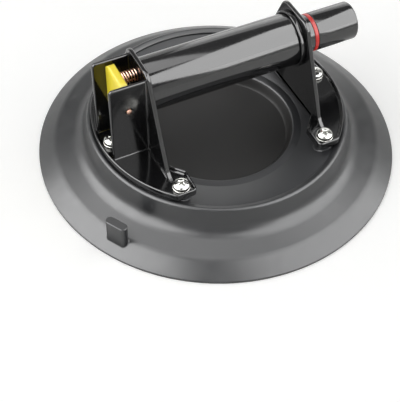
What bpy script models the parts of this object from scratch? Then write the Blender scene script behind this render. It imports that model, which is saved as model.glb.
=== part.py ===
"""Hand vacuum lifter whose handle is its own pump.

A rubber pad seals on the load. Two brackets, screwed to the bosses of the pad's backing plate, carry the
handle tube. The tube is a pump barrel: pushing the sprung plunger in its right end draws air out of the pad,
and a lever in the left bracket lets air back in. The origin is the pad's centre on its sealing plane, X runs
along the handle towards the plunger, and Z points up. Sizes are in metres.
"""

import math

import bmesh
import bpy
from mathutils import Matrix, Vector

GAP = 0.0003  # clearance where one piece seats or runs in another

# Rubber pad
PAD_RADIUS = 0.127
LIP_WIDTH = 0.006  # flat ring that seals on the load
LIP_EDGE = 0.0016
BEVEL_WIDTH = 0.012
BEVEL_RISE = 0.008
FLANK_RISE = 0.0038  # the flank climbs this much from the bevel's crease to the ring's foot
RING_RADIUS = 0.0904  # crest of the raised ring
RING_HEIGHT = 0.0303
RING_SPREAD = 0.0066  # how much wider the ring's foot is than its crest
FOOT_FILLET = 0.010  # soft blend of the ring's wall into the flank
BEAD = 0.0016
LAP = 0.0046  # the ring's lip over the plate's edge
CAVITY_HEIGHT = 0.0066
CAVITY_SLOPE = 0.0085
RIB_RADIUS = 0.090
RIB_WIDTH = 0.003
RIB_HEIGHT = 0.0016
RIB_DRAFT = 0.0006
TAB_AZIMUTH = 212.3  # degrees from +X
TAB_LENGTH = 0.014
TAB_WIDTH = 0.0052
TAB_INSET = 0.0092  # tab's centre from the pad's edge
TAB_TOP = 0.024
TAB_ROOT = 0.0043  # its foot, inside the rubber

# Backing plate
PLATE_THICKNESS = 0.0025
PLATE_EDGE_DROP = 0.0019  # plate's edge under the ring's crest
LAND_HEIGHT = 0.0182
LAND_RADIUS = 0.060
LAND_WIDTH = 0.005
DISH_DEPTH = 0.0072
DISH_SLOPE = 0.019  # width of the dish's curved wall
BOSS_RADIUS = 0.006
BOSS_DEPTH = 0.0125

# Brackets
TRAY_SETBACK = 0.0024  # tray's arc inside the ring's crest
TRAY_FLOOR = 0.0027
TRAY_LIP_RISE = 0.0025
TRAY_LIP_WIDTH = 0.0016
TRAY_CORNER = 0.003
GRIP_LENGTH = 0.1116  # clear length between the uprights
UPRIGHT_THICKNESS = 0.003
UPRIGHT_HALF_WIDTH = 0.045  # at its foot
UPRIGHT_SIDE_MARGIN = 0.0051  # its sloped sides from the barrel
UPRIGHT_TOP_MARGIN = 0.0039  # its top above the barrel
UPRIGHT_CORNER = 0.008
HANDLE_HEIGHT = 0.0762
CHANNEL_WIDTH = 0.0256  # inside, between the cheeks
CHEEK_THICKNESS = 0.0025
CHEEK_RISE = 0.0171  # cheeks' top above the handle's axis
CHEEK_SETBACK = 0.0039  # cheeks' free edge from the tray's arc
CHEEK_CORNER = 0.003

# Bracket screws
SCREW_RADIUS = 0.003
SCREW_LENGTH = 0.014
SCREW_HEAD_RADIUS = 0.0056
SCREW_HEAD_HEIGHT = 0.0033
SCREW_HEAD_RIM = 0.0012  # straight part of the head's side
RECESS_WIDTH = 0.0011
RECESS_LENGTH = 0.0052
RECESS_DEPTH = 0.0017
RECESS_TURN = 30  # degrees
WASHER_RADIUS = 0.006
WASHER_THICKNESS = 0.001
CORNER_SCREW_INSET = 0.0103  # from the tray's arc
CORNER_SCREW_ANGLE = 46.25  # degrees each side of the handle
MIDDLE_SCREW_INSET = 0.009
FOOT_END_MARGIN = 0.0079  # from a corner screw to the foot's end
FOOT_SIDE_MARGIN = 0.0082
FOOT_SHOULDER = 0.010
FOOT_CHAMFER = 0.0113

# Pump
BARREL_RADIUS = 0.018
BARREL_WALL = 0.0025
COLLAR_WIDTH = 0.0032
COLLAR_THICKNESS = 0.0013
HEAD_LENGTH = 0.0115
RING_SECTION = 0.0011  # radius of the head seal's section
SEAL_SETBACK = 0.0028
INTAKE_RECESS_DEPTH = 0.0025
PORT_RADIUS = 0.0009
VALVE_STEM_RADIUS = 0.0015
VALVE_STEM_LENGTH = 0.0065
VALVE_THICKNESS = 0.0012
VALVE_OVERLAP = 0.0008  # valve's rim past the ports
BUSH_LENGTH = 0.0152  # the part of the bush inside the barrel
BUSH_FLANGE_RADIUS = 0.0172
BUSH_FLANGE_THICKNESS = 0.0025

# Plunger
PLUNGER_RADIUS = 0.0132
PLUNGER_WALL = 0.0022
PLUNGER_REACH = 0.0423  # how far the cap stands out of the bracket
CAP_THICKNESS = 0.004
CAP_ROUNDING = 0.0025
CAP_SPIGOT = 0.008
BAND_WIDTH = 0.0033
BAND_OFFSET = 0.008  # red band from the bracket's outer face
BAND_DEPTH = 0.0008
PISTON_LENGTH = 0.010
PISTON_SPIGOT = 0.007
PISTON_GROOVE_WIDTH = 0.004
PISTON_GROOVE_DEPTH = 0.003
EXHAUST_RADIUS = 0.006
SPRING_WIRE = 0.0008  # radius
SPRING_TURNS = 7

# Lever and air valve
PIN_OFFSET = 0.0124  # lever pin from the left bracket's outer face
PIN_DROP = 0.0037  # lever pin below the handle's axis
PIN_RADIUS = 0.0015
PIN_HEAD_RADIUS = 0.0021
PIN_HEAD_HEIGHT = 0.0009
PIN_HEAD_FLAT = 0.001
PIN_HEAD_RIM = 0.0003
HUB_RADIUS = 0.0034
LEVER_THICKNESS = 0.0055
LEVER_LEAD = 0.004  # lever's outer face from the pin's axis
LEVER_UP = 0.0195
LEVER_DOWN = 0.0135
LEVER_CORNER = 0.004
LEVER_EASE = 0.0045  # outer top edge, rounded for the thumb
VALVE_SPRING_RISE = 0.015  # above the pin
VALVE_SPRING_RADIUS = 0.0038
VALVE_SPRING_WIRE = 0.00045
VALVE_SPRING_TURNS = 7
STUD_RADIUS = 0.0024
STUD_LENGTH = 0.0036
NOZZLE_DROP = 0.0065  # nozzle below the pin
NOZZLE_SIDE = -0.003
NOZZLE_RADIUS = 0.0022
NOZZLE_TIP_RADIUS = 0.0018
NOZZLE_BORE = 0.001
FITTING_FLANGE = 0.0036
FITTING_FLANGE_THICKNESS = 0.002
AIR_PAD_RADIUS = 0.003
AIR_PAD_THICKNESS = 0.0019
AIR_PAD_STEM = 0.0012
AIR_PAD_STEM_LENGTH = 0.003

# Suction pipe
PIPE_RADIUS = 0.0025
PIPE_BORE = 0.0014
PIPE_BEND = 0.005
PIPE_LEAD = 0.00075  # from the upright to the bend
PIPE_OFFSET = 0.0055  # beside the lever's middle
PIPE_DROP = 0.0062  # pipe's entry below the handle's axis
PIPE_ENTRY = 0.006  # length inside the pump head
PORT_BOSS_RADIUS = 0.0058
PORT_BOSS_RISE = 0.003
PORT_BOSS_DEPTH = 0.006
AIR_WAY_RADIUS = 0.0015  # hole in the rubber under the pipe
SEAL_RING_RADIUS = 0.0048
SEAL_RING_HEIGHT = 0.0022
FILTER_RADIUS = 0.0055
FILTER_THICKNESS = 0.0012
COVER_RADIUS = 0.007
COVER_THICKNESS = 0.001
COVER_HOLE = 0.0012

# Facets
SMOOTH_ANGLE = 35  # degrees; sharper edges stay crisp
PAD_SIDES = 44
ROUND_SIDES = 24
SMALL_SIDES = 12
WIRE_SIDES = 5

# Places that follow from the sizes
UPRIGHT_INNER = GRIP_LENGTH / 2
UPRIGHT_OUTER = UPRIGHT_INNER + UPRIGHT_THICKNESS
TRAY_RADIUS = RING_RADIUS - TRAY_SETBACK
TRAY_BASE = RING_HEIGHT
TRAY_TOP = TRAY_BASE + TRAY_FLOOR
BORE_RADIUS = BARREL_RADIUS - BARREL_WALL
PUMP_FACE = -UPRIGHT_INNER + GAP + HEAD_LENGTH  # pump head's face towards the piston
PLUNGER_END = UPRIGHT_OUTER + PLUNGER_REACH
PISTON_STOP = UPRIGHT_INNER - BUSH_LENGTH - GAP  # piston's shoulder at rest, against the bush
CHEEK_TOP = HANDLE_HEIGHT + CHEEK_RISE
PIN_X = -UPRIGHT_OUTER - PIN_OFFSET
PIN_HEIGHT = HANDLE_HEIGHT - PIN_DROP
LEVER_OUTER = PIN_X - LEVER_LEAD
LEVER_INNER = LEVER_OUTER + LEVER_THICKNESS
VALVE_SPRING_Z = PIN_HEIGHT + VALVE_SPRING_RISE
NOZZLE_Z = PIN_HEIGHT - NOZZLE_DROP
PIPE_Z = HANDLE_HEIGHT - PIPE_DROP
PIPE_X = -UPRIGHT_OUTER - PIPE_LEAD - PIPE_BEND
BOSS_REACH = TRAY_RADIUS - MIDDLE_SCREW_INSET + PIPE_X  # from the pipe to the middle screw, along X
BOSS_CLEARANCE = BOSS_RADIUS + SEAL_RING_RADIUS + GAP
PIPE_SIDE = max(PIPE_OFFSET, math.sqrt(max(0, BOSS_CLEARANCE**2 - BOSS_REACH**2)))
ALONG_X = (0, math.pi / 2, 0)
ALONG_Y = (-math.pi / 2, 0, 0)
UPWARDS = (0, 0, 0)
HALF_FACET = (0, 0, math.pi / SMALL_SIDES)  # keeps a boss's corners off the plate's facet lines


def clear_scene():
    for obj in list(bpy.data.objects):
        bpy.data.objects.remove(obj, do_unlink=True)


def finish(name, colour, roughness, metallic=0.0):
    made = bpy.data.materials.new(name)
    made.use_nodes = True
    shader = made.node_tree.nodes["Principled BSDF"]
    shader.inputs["Base Color"].default_value = (*colour, 1.0)
    shader.inputs["Roughness"].default_value = roughness
    shader.inputs["Metallic"].default_value = metallic
    return made


def add_object(name, shape, material=None, at=(0, 0, 0), turn=UPWARDS, parent=None):
    """Makes an object from a bmesh. at is a place in the world, also for a piece with a parent."""
    bmesh.ops.recalc_face_normals(shape, faces=shape.faces)
    mesh = bpy.data.meshes.new(name)
    shape.to_mesh(mesh)
    shape.free()
    mesh.shade_smooth()
    mesh.set_sharp_from_angle(angle=math.radians(SMOOTH_ANGLE))
    obj = bpy.data.objects.new(name, mesh)
    bpy.context.scene.collection.objects.link(obj)
    obj.parent = parent
    obj.location = Vector(at) - (parent.location if parent else Vector())
    obj.rotation_euler = turn
    if material:
        mesh.materials.append(material)
    return obj


def helper(name, shape, at=(0, 0, 0), turn=UPWARDS, parent=None):
    """A shape that only cuts or joins another."""
    obj = add_object(name, shape, at=at, turn=turn, parent=parent)
    obj.hide_render = True
    obj.display_type = "WIRE"
    return obj


def combine(obj, other, operation):
    boolean = obj.modifiers.new(other.name, "BOOLEAN")
    boolean.operation = operation
    boolean.object = other


def cut(obj, other):
    combine(obj, other, "DIFFERENCE")


def join(obj, other):
    combine(obj, other, "UNION")


def turned(outline, sides=ROUND_SIDES):
    """Turns a closed outline of (radius, height) points about Z. An outline that starts and ends on the axis
    has flat ends."""
    shape = bmesh.new()
    on_axis = outline[0][0] == 0
    rings = []
    for radius, height in outline[1:-1] if on_axis else outline:
        ring = []
        for side in range(sides):
            angle = 2 * math.pi * side / sides
            ring.append(shape.verts.new((radius * math.cos(angle), radius * math.sin(angle), height)))
        rings.append(ring)
    if on_axis:
        shape.faces.new(rings[0])
        shape.faces.new(rings[-1])
    for ring, following in zip(rings, rings[1:] if on_axis else rings[1:] + rings[:1]):
        for side in range(sides):
            after = (side + 1) % sides
            shape.faces.new((ring[side], ring[after], following[after], following[side]))
    return shape


def disc(radius, low, high, sides=ROUND_SIDES):
    return turned([(0, low), (radius, low), (radius, high), (0, high)], sides)


def washer_shape(inner, outer, low, high, sides=ROUND_SIDES):
    return turned([(inner, low), (outer, low), (outer, high), (inner, high)], sides)


def arc(centre, radius, start, end, steps):
    """Points on an arc, from one angle in degrees to another."""
    points = []
    for step in range(steps + 1):
        angle = math.radians(start + (end - start) * step / steps)
        points.append((centre[0] + radius * math.cos(angle), centre[1] + radius * math.sin(angle)))
    return points


def rounded(corners, steps=3):
    """An outline from (x, y, radius) corners, each rounded by its radius."""
    points = []
    for number, (x, y, radius) in enumerate(corners):
        here = Vector((x, y))
        before = (Vector(corners[number - 1][:2]) - here).normalized()
        after = (Vector(corners[(number + 1) % len(corners)][:2]) - here).normalized()
        if radius == 0 or abs(before.dot(after)) > 0.999:
            points.append((x, y))
            continue
        half_angle = before.angle(after) / 2
        middle = here + (before + after).normalized() * radius / math.sin(half_angle)
        first = here + before * radius / math.tan(half_angle) - middle
        last = here + after * radius / math.tan(half_angle) - middle
        for step in range(steps + 1):
            spoke = first.normalized().slerp(last.normalized(), step / steps) * radius
            points.append(tuple(middle + spoke))
    return points


def inset(points, distance):
    """The same outline, run anticlockwise, moved inwards."""
    moved = []
    for number, point in enumerate(points):
        here = Vector(point)
        before = (here - Vector(points[number - 1])).normalized()
        after = (Vector(points[(number + 1) % len(points)]) - here).normalized()
        normals = Vector((-before.y, before.x)), Vector((-after.y, after.x))
        share = distance / (1 + normals[0].dot(normals[1]))
        moved.append(tuple(here + (normals[0] + normals[1]) * share))
    return moved


def prism(outline, low, high, plane="XY"):
    """An outline drawn in a plane and extruded along that plane's normal."""
    place = {
        "XY": lambda u, v, w: (u, v, w),
        "YZ": lambda u, v, w: (w, u, v),
        "XZ": lambda u, v, w: (u, w, v),
    }[plane]
    shape = bmesh.new()
    bottom = [shape.verts.new(place(u, v, low)) for u, v in outline]
    top = [shape.verts.new(place(u, v, high)) for u, v in outline]
    shape.faces.new(bottom)
    shape.faces.new(top)
    for number in range(len(outline)):
        after = (number + 1) % len(outline)
        shape.faces.new((bottom[number], bottom[after], top[after], top[number]))
    return shape


def pipe(path, radius, bore=0.0, sides=WIRE_SIDES):
    """A round section swept along a path of points. With a bore it is a tube, open at both ends."""
    shape = bmesh.new()
    points = [Vector(point) for point in path]
    heading = (points[1] - points[0]).normalized()
    normal = heading.orthogonal().normalized()
    outside, inside = [], []
    for number, point in enumerate(points):
        ahead = points[min(number + 1, len(points) - 1)]
        behind = points[max(number - 1, 0)]
        turned_heading = (ahead - behind).normalized()
        normal.rotate(heading.rotation_difference(turned_heading))
        heading = turned_heading
        for ring, size in ((outside, radius), (inside, bore)):
            if size == 0:
                continue
            spokes = []
            for side in range(sides):
                spokes.append(Matrix.Rotation(2 * math.pi * side / sides, 3, heading) @ normal)
            ring.append([shape.verts.new(point + spoke * size) for spoke in spokes])
    for rings in (outside, inside):
        for ring, following in zip(rings, rings[1:]):
            for side in range(sides):
                after = (side + 1) % sides
                shape.faces.new((ring[side], ring[after], following[after], following[side]))
    if not inside:
        shape.faces.new(outside[0])
        shape.faces.new(outside[-1])
        return shape
    for outer_ring, inner_ring in ((outside[0], inside[0]), (outside[-1], inside[-1])):
        for side in range(sides):
            after = (side + 1) % sides
            shape.faces.new((outer_ring[side], outer_ring[after], inner_ring[after], inner_ring[side]))
    return shape


def helix(radius, length, turns, steps=8):
    """Points of a coil about X, from 0 to length, with half a closed turn at each end."""
    points = []
    for step in range(turns * steps + 1):
        turn = step / steps
        share = min(max((turn - 0.5) / (turns - 1), 0), 1)
        angle = 2 * math.pi * turn
        points.append((length * share, radius * math.cos(angle), radius * math.sin(angle)))
    return points


def plate_outline():
    """Top of the backing plate as (radius, height), from its centre to its edge."""
    floor = LAND_HEIGHT - DISH_DEPTH
    lip = LAND_RADIUS - LAND_WIDTH
    points = [(0, floor)]
    for step in range(4):
        share = step / 3
        points.append((lip - DISH_SLOPE * (1 - share), floor + DISH_DEPTH * share**2))
    points.append((LAND_RADIUS, LAND_HEIGHT))
    points.append((RING_RADIUS - PLATE_EDGE_DROP, RING_HEIGHT - PLATE_EDGE_DROP))
    return points


def cone_height(radius):
    """Height of the plate's conical top at a radius outside the land."""
    edge_radius, edge_height = plate_outline()[-1]
    share = (radius - LAND_RADIUS) / (edge_radius - LAND_RADIUS)
    return LAND_HEIGHT + (edge_height - LAND_HEIGHT) * share


def screw_places(side):
    """(x, y) of one bracket's three screws. side is -1 for the valve bracket and 1 for the pump bracket."""
    angle = math.radians(CORNER_SCREW_ANGLE)
    radius = TRAY_RADIUS - CORNER_SCREW_INSET
    corner = (side * radius * math.cos(angle), radius * math.sin(angle))
    middle = side * (TRAY_RADIUS - MIDDLE_SCREW_INSET)
    return {"front": (corner[0], -corner[1]), "outer": (middle, 0), "rear": corner}


def build_pad(rubber):
    crease = PAD_RADIUS - BEVEL_WIDTH, LIP_EDGE + BEVEL_RISE
    foot = RING_RADIUS + RING_SPREAD, crease[1] + FLANK_RISE
    crest = RING_RADIUS + BEAD
    lap = RING_RADIUS - LAP
    groove = RING_RADIUS - PLATE_EDGE_DROP + GAP
    below = PLATE_THICKNESS + GAP
    corners = [(PAD_RADIUS - LIP_WIDTH, 0, 0), (PAD_RADIUS, 0, 0), (PAD_RADIUS, LIP_EDGE, 0), (*crease, 0)]
    corners += [(*foot, FOOT_FILLET), (crest, RING_HEIGHT, BEAD), (lap, RING_HEIGHT - BEAD / 2, BEAD / 2)]
    corners += [(lap, cone_height(lap) + GAP, 0), (groove, cone_height(groove) + GAP, 0)]
    outside = rounded(corners, 2)
    seat = [(groove, cone_height(groove) - below)]
    for radius, height in reversed(plate_outline()[:-1]):
        seat.append((radius, height - below))
    cavity = [(0, CAVITY_HEIGHT)]
    cavity += [(RIB_RADIUS, CAVITY_HEIGHT), (RIB_RADIUS + RIB_DRAFT, CAVITY_HEIGHT - RIB_HEIGHT)]
    far_side = RIB_RADIUS + RIB_WIDTH
    cavity += [(far_side - RIB_DRAFT, CAVITY_HEIGHT - RIB_HEIGHT), (far_side, CAVITY_HEIGHT)]
    ceiling = PAD_RADIUS - LIP_WIDTH - CAVITY_SLOPE
    cavity.append((ceiling - BEAD, CAVITY_HEIGHT))
    cavity.append((ceiling, CAVITY_HEIGHT - BEAD / 2))
    pad = add_object("rubber_pad", turned(cavity + outside + seat, PAD_SIDES), rubber)

    half = TAB_WIDTH / 2
    straight = TAB_LENGTH / 2 - half
    ends = arc((0, straight), half, 0, 180, 6) + arc((0, -straight), half, 180, 360, 6)
    angle = math.radians(TAB_AZIMUTH)
    reach = PAD_RADIUS - TAB_INSET
    place = (reach * math.cos(angle), reach * math.sin(angle), 0)
    tab = prism(ends, TAB_ROOT, TAB_TOP)
    join(pad, helper("pull_tab", tab, at=place, turn=(0, 0, angle)))

    for side in (-1, 1):
        for spot, (x, y) in screw_places(side).items():
            pocket = disc(BOSS_RADIUS + GAP, TRAY_BASE - BOSS_DEPTH - 2 * GAP, RING_HEIGHT, SMALL_SIDES)
            cut(pad, helper(f"boss_pocket_{side}_{spot}", pocket, at=(x, y, 0), turn=HALF_FACET))
    port = disc(PORT_BOSS_RADIUS + GAP, port_boss_bottom() - GAP, RING_HEIGHT, SMALL_SIDES)
    cut(pad, helper("port_pocket", port, at=(PIPE_X, PIPE_SIDE, 0), turn=HALF_FACET))
    way = disc(AIR_WAY_RADIUS, 0, RING_HEIGHT, SMALL_SIDES)
    cut(pad, helper("air_way", way, at=(PIPE_X, PIPE_SIDE, 0)))
    recess_top = CAVITY_HEIGHT + FILTER_THICKNESS + GAP
    filter_recess = disc(FILTER_RADIUS + GAP, 0, recess_top, SMALL_SIDES)
    cut(pad, helper("filter_recess", filter_recess, at=(PIPE_X, PIPE_SIDE, 0)))
    return pad


def port_radius():
    return math.hypot(PIPE_X, PIPE_SIDE)


def port_boss_top():
    return cone_height(port_radius()) + PORT_BOSS_RISE


def port_boss_bottom():
    return cone_height(port_radius()) - PLATE_THICKNESS - PORT_BOSS_DEPTH


def build_plate(coated_metal):
    top = plate_outline()
    below = [(radius, height - PLATE_THICKNESS) for radius, height in reversed(top)]
    plate = add_object("backing_plate", turned(top + below, PAD_SIDES), coated_metal)
    boss_top = TRAY_BASE - GAP
    port_sizes = (PIPE_RADIUS, PORT_BOSS_RADIUS, port_boss_bottom(), port_boss_top())
    bosses = {"port": (PIPE_X, PIPE_SIDE, port_sizes)}
    screw_sizes = (SCREW_RADIUS, BOSS_RADIUS, boss_top - BOSS_DEPTH, boss_top)
    for side in (-1, 1):
        for spot, (x, y) in screw_places(side).items():
            bosses[f"{side}_{spot}"] = (x, y, screw_sizes)
    for label, (x, y, (inner, outer, low, high)) in bosses.items():
        opening = disc((inner + outer) / 2, 0, RING_HEIGHT, SMALL_SIDES)
        cut(plate, helper(f"opening_{label}", opening, at=(x, y, 0), turn=HALF_FACET))
        sleeve = washer_shape(inner + GAP, outer, low, high, SMALL_SIDES)
        join(plate, helper(f"boss_{label}", sleeve, at=(x, y, 0), turn=HALF_FACET))
    return plate


def tray_outline(side):
    """Outline of a bracket's tray, anticlockwise, for the pump side, or mirrored for the valve side."""
    corner_x, corner_y = screw_places(1)["rear"]
    end = corner_y + FOOT_END_MARGIN
    inner = corner_x - FOOT_SIDE_MARGIN
    shoulder = corner_y - FOOT_SHOULDER
    chord = shoulder - FOOT_CHAMFER
    end_x = math.sqrt(TRAY_RADIUS**2 - end**2)
    span = math.degrees(math.asin(end / TRAY_RADIUS))
    arc_points = arc((0, 0), TRAY_RADIUS, -span, span, 18)[1:-1]
    corners = [(inner, -end, TRAY_CORNER), (end_x, -end, TRAY_CORNER)]
    corners += [(x, y, 0) for x, y in arc_points]
    corners += [(end_x, end, TRAY_CORNER), (inner, end, TRAY_CORNER), (inner, shoulder, TRAY_CORNER)]
    corners += [(UPRIGHT_INNER, chord, 0), (UPRIGHT_INNER, -chord, 0), (inner, -shoulder, TRAY_CORNER)]
    outline = rounded(corners)
    if side > 0:
        return outline
    return [(-x, y) for x, y in reversed(outline)]


def upright_outline():
    """Upright seen along the handle: sides that slope up past the barrel to a rounded top."""
    foot = Vector((UPRIGHT_HALF_WIDTH, TRAY_TOP))
    to_axis = Vector((0, HANDLE_HEIGHT)) - foot
    past_barrel = BARREL_RADIUS + UPRIGHT_SIDE_MARGIN
    leaning = math.atan2(to_axis.y, to_axis.x) - math.asin(past_barrel / to_axis.length)
    low = TRAY_BASE + TRAY_FLOOR / 2
    high = HANDLE_HEIGHT + BARREL_RADIUS + UPRIGHT_TOP_MARGIN
    low_half, high_half = (foot.x + (height - foot.y) / math.tan(leaning) for height in (low, high))
    corners = [(-low_half, low, 0), (low_half, low, 0)]
    corners += [(high_half, high, UPRIGHT_CORNER), (-high_half, high, UPRIGHT_CORNER)]
    return rounded(corners, 5)


def build_bracket(name, side, black_gloss):
    outline = tray_outline(side)
    lip_top = TRAY_TOP + TRAY_LIP_RISE
    bracket = add_object(name, prism(outline, TRAY_BASE, lip_top), black_gloss)
    hollow = prism(inset(outline, TRAY_LIP_WIDTH), TRAY_TOP, lip_top + TRAY_LIP_RISE)
    cut(bracket, helper(f"{name}_hollow", hollow))
    faces = sorted((side * UPRIGHT_INNER, side * UPRIGHT_OUTER))
    join(bracket, helper(f"{name}_upright", prism(upright_outline(), *faces, plane="YZ")))
    for spot, (x, y) in screw_places(side).items():
        hole = disc(SCREW_RADIUS + GAP, 0, CHEEK_TOP, SMALL_SIDES)
        if spot == "outer" and side < 0:
            hole = disc(SCREW_RADIUS + GAP, 0, TRAY_TOP + TRAY_LIP_RISE, SMALL_SIDES)
        cut(bracket, helper(f"{name}_hole_{spot}", hole, at=(x, y, 0)))
    return bracket


def build_valve_bracket(black_gloss):
    name = "valve_bracket"
    bracket = build_bracket(name, -1, black_gloss)
    free_edge = -(TRAY_RADIUS - CHEEK_SETBACK)
    root = -(UPRIGHT_INNER + UPRIGHT_THICKNESS / 2)
    low = TRAY_BASE + TRAY_FLOOR / 2
    corners = [(free_edge, low, 0), (root, low, 0), (root, CHEEK_TOP, 0)]
    corners.append((free_edge, CHEEK_TOP, CHEEK_CORNER))
    inside = CHANNEL_WIDTH / 2
    outside = inside + CHEEK_THICKNESS
    for label, low_y, high_y in (("front", -outside, -inside), ("rear", inside, outside)):
        cheek = prism(rounded(corners), low_y, high_y, plane="XZ")
        join(bracket, helper(f"{label}_cheek", cheek))
    stud = disc(STUD_RADIUS, -STUD_LENGTH, UPRIGHT_THICKNESS / 2, SMALL_SIDES)
    join(bracket, helper("spring_stud", stud, at=(-UPRIGHT_OUTER, 0, VALVE_SPRING_Z), turn=ALONG_X))
    pin_hole = disc(PIN_RADIUS + GAP, -outside - CHEEK_THICKNESS, outside + CHEEK_THICKNESS, SMALL_SIDES)
    cut(bracket, helper("pin_hole", pin_hole, at=(PIN_X, 0, PIN_HEIGHT), turn=ALONG_Y))
    reach = 2 * UPRIGHT_THICKNESS
    nozzle_hole = disc(NOZZLE_RADIUS + GAP, -reach, reach, SMALL_SIDES)
    cut(bracket, helper("nozzle_hole", nozzle_hole, at=(-UPRIGHT_OUTER, NOZZLE_SIDE, NOZZLE_Z), turn=ALONG_X))
    pipe_hole = disc(PIPE_RADIUS + GAP, -reach, reach, SMALL_SIDES)
    cut(bracket, helper("pipe_hole", pipe_hole, at=(-UPRIGHT_OUTER, PIPE_SIDE, PIPE_Z), turn=ALONG_X))
    floor_hole = disc(PIPE_RADIUS + GAP, 0, TRAY_TOP + GAP, SMALL_SIDES)
    cut(bracket, helper("pipe_floor_hole", floor_hole, at=(PIPE_X, PIPE_SIDE, 0)))
    return bracket


def build_pump_bracket(black_gloss):
    bracket = build_bracket("pump_bracket", 1, black_gloss)
    bore = disc(BORE_RADIUS, -UPRIGHT_THICKNESS, 2 * UPRIGHT_THICKNESS)
    cut(bracket, helper("bush_hole", bore, at=(UPRIGHT_INNER, 0, HANDLE_HEIGHT), turn=ALONG_X))
    return bracket


def screw_outline():
    """Shank and domed head as (radius, height) from the head's underside."""
    outline = [(0, -SCREW_LENGTH), (SCREW_RADIUS, -SCREW_LENGTH), (SCREW_RADIUS, 0), (SCREW_HEAD_RADIUS, 0)]
    dome = SCREW_HEAD_HEIGHT - SCREW_HEAD_RIM
    for cosine, sine in arc((0, 0), 1, 0, 60, 2):
        outline.append((SCREW_HEAD_RADIUS * cosine, SCREW_HEAD_RIM + dome * sine))
    outline += [(RECESS_WIDTH, SCREW_HEAD_HEIGHT), (0, SCREW_HEAD_HEIGHT)]
    return outline


def build_screws(zinc, steel):
    """Pan head screws with a cross recess, and their washers."""
    washer_low = TRAY_TOP + GAP
    head_low = washer_low + WASHER_THICKNESS + GAP
    for side, bracket in ((-1, "valve"), (1, "pump")):
        for spot, (x, y) in screw_places(side).items():
            ring = washer_shape(SCREW_RADIUS + GAP, WASHER_RADIUS, 0, WASHER_THICKNESS, SMALL_SIDES)
            add_object(f"{bracket}_washer_{spot}", ring, steel, at=(x, y, washer_low))
            shape = turned(screw_outline(), SMALL_SIDES)
            screw = add_object(f"{bracket}_screw_{spot}", shape, zinc, at=(x, y, head_low))
            arm, half = RECESS_LENGTH / 2, RECESS_WIDTH / 2
            cross = [(arm, -half), (arm, half), (half, half), (half, arm), (-half, arm), (-half, half)]
            cross += [(-x, -y) for x, y in cross]
            recess = prism(cross, SCREW_HEAD_HEIGHT - RECESS_DEPTH, SCREW_HEAD_HEIGHT + RECESS_DEPTH)
            turn = (0, 0, math.radians(RECESS_TURN))
            cut(screw, helper(f"{screw.name}_recess", recess, at=(x, y, head_low), turn=turn))


def build_barrel(black_tube, black_gloss):
    end = UPRIGHT_INNER - GAP
    tube = washer_shape(BORE_RADIUS, BARREL_RADIUS, -end, end)
    add_object("pump_barrel", tube, black_tube, at=(0, 0, HANDLE_HEIGHT), turn=ALONG_X)
    inner = BARREL_RADIUS + GAP
    collar = washer_shape(inner, inner + COLLAR_THICKNESS, end - COLLAR_WIDTH, end)
    add_object("barrel_collar", collar, black_gloss, at=(0, 0, HANDLE_HEIGHT), turn=ALONG_X)


def build_pump_head(acetal, rubber):
    start = -UPRIGHT_INNER + GAP
    radius = BORE_RADIUS - GAP
    groove_bottom = radius - 2 * RING_SECTION
    seal_x = PUMP_FACE - SEAL_SETBACK
    half = RING_SECTION + GAP
    recess_radius = intake_recess_radius()
    recess = PUMP_FACE - INTAKE_RECESS_DEPTH
    stem_hole = VALVE_STEM_RADIUS + GAP
    stem_end = PUMP_FACE - VALVE_STEM_LENGTH - GAP
    outline = [(0, start), (radius, start), (radius, seal_x - half), (groove_bottom, seal_x - half)]
    outline += [(groove_bottom, seal_x + half), (radius, seal_x + half), (radius, PUMP_FACE)]
    outline += [(recess_radius, PUMP_FACE), (recess_radius, recess), (stem_hole, recess)]
    outline += [(stem_hole, stem_end), (0, stem_end)]
    head = add_object("pump_head", turned(outline), acetal, at=(0, 0, HANDLE_HEIGHT), turn=ALONG_X)
    for label, side, height, size in (
        ("nozzle", NOZZLE_SIDE, NOZZLE_Z, NOZZLE_RADIUS),
        ("pipe", PIPE_SIDE, PIPE_Z, PIPE_RADIUS),
    ):
        seat = disc(size + GAP, -PIPE_ENTRY, PIPE_ENTRY + GAP, SMALL_SIDES)
        cut(head, helper(f"head_{label}_seat", seat, at=(start, side, height), turn=ALONG_X))
        port = disc(PORT_RADIUS, 0, HEAD_LENGTH - INTAKE_RECESS_DEPTH / 2, SMALL_SIDES)
        cut(head, helper(f"head_{label}_port", port, at=(start, side, height), turn=ALONG_X))

    section = arc((groove_bottom + GAP / 2 + RING_SECTION, seal_x), RING_SECTION - GAP / 2, 0, 360, 6)[:-1]
    add_object("head_seal_ring", turned(section), rubber, at=(0, 0, HANDLE_HEIGHT), turn=ALONG_X)

    low = PUMP_FACE + GAP
    stem_tip = low - VALVE_STEM_LENGTH
    rim = intake_valve_radius()
    valve = [(0, stem_tip), (VALVE_STEM_RADIUS, stem_tip), (VALVE_STEM_RADIUS, low), (rim, low)]
    valve += [(rim, low + VALVE_THICKNESS / 2), (0, low + VALVE_THICKNESS)]
    add_object("intake_valve", turned(valve), rubber, at=(0, 0, HANDLE_HEIGHT), turn=ALONG_X)


def intake_recess_radius():
    nozzle = math.hypot(NOZZLE_SIDE, HANDLE_HEIGHT - NOZZLE_Z)
    return max(nozzle, math.hypot(PIPE_SIDE, PIPE_DROP)) + PORT_RADIUS / 2


def intake_valve_radius():
    return intake_recess_radius() + VALVE_OVERLAP


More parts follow.
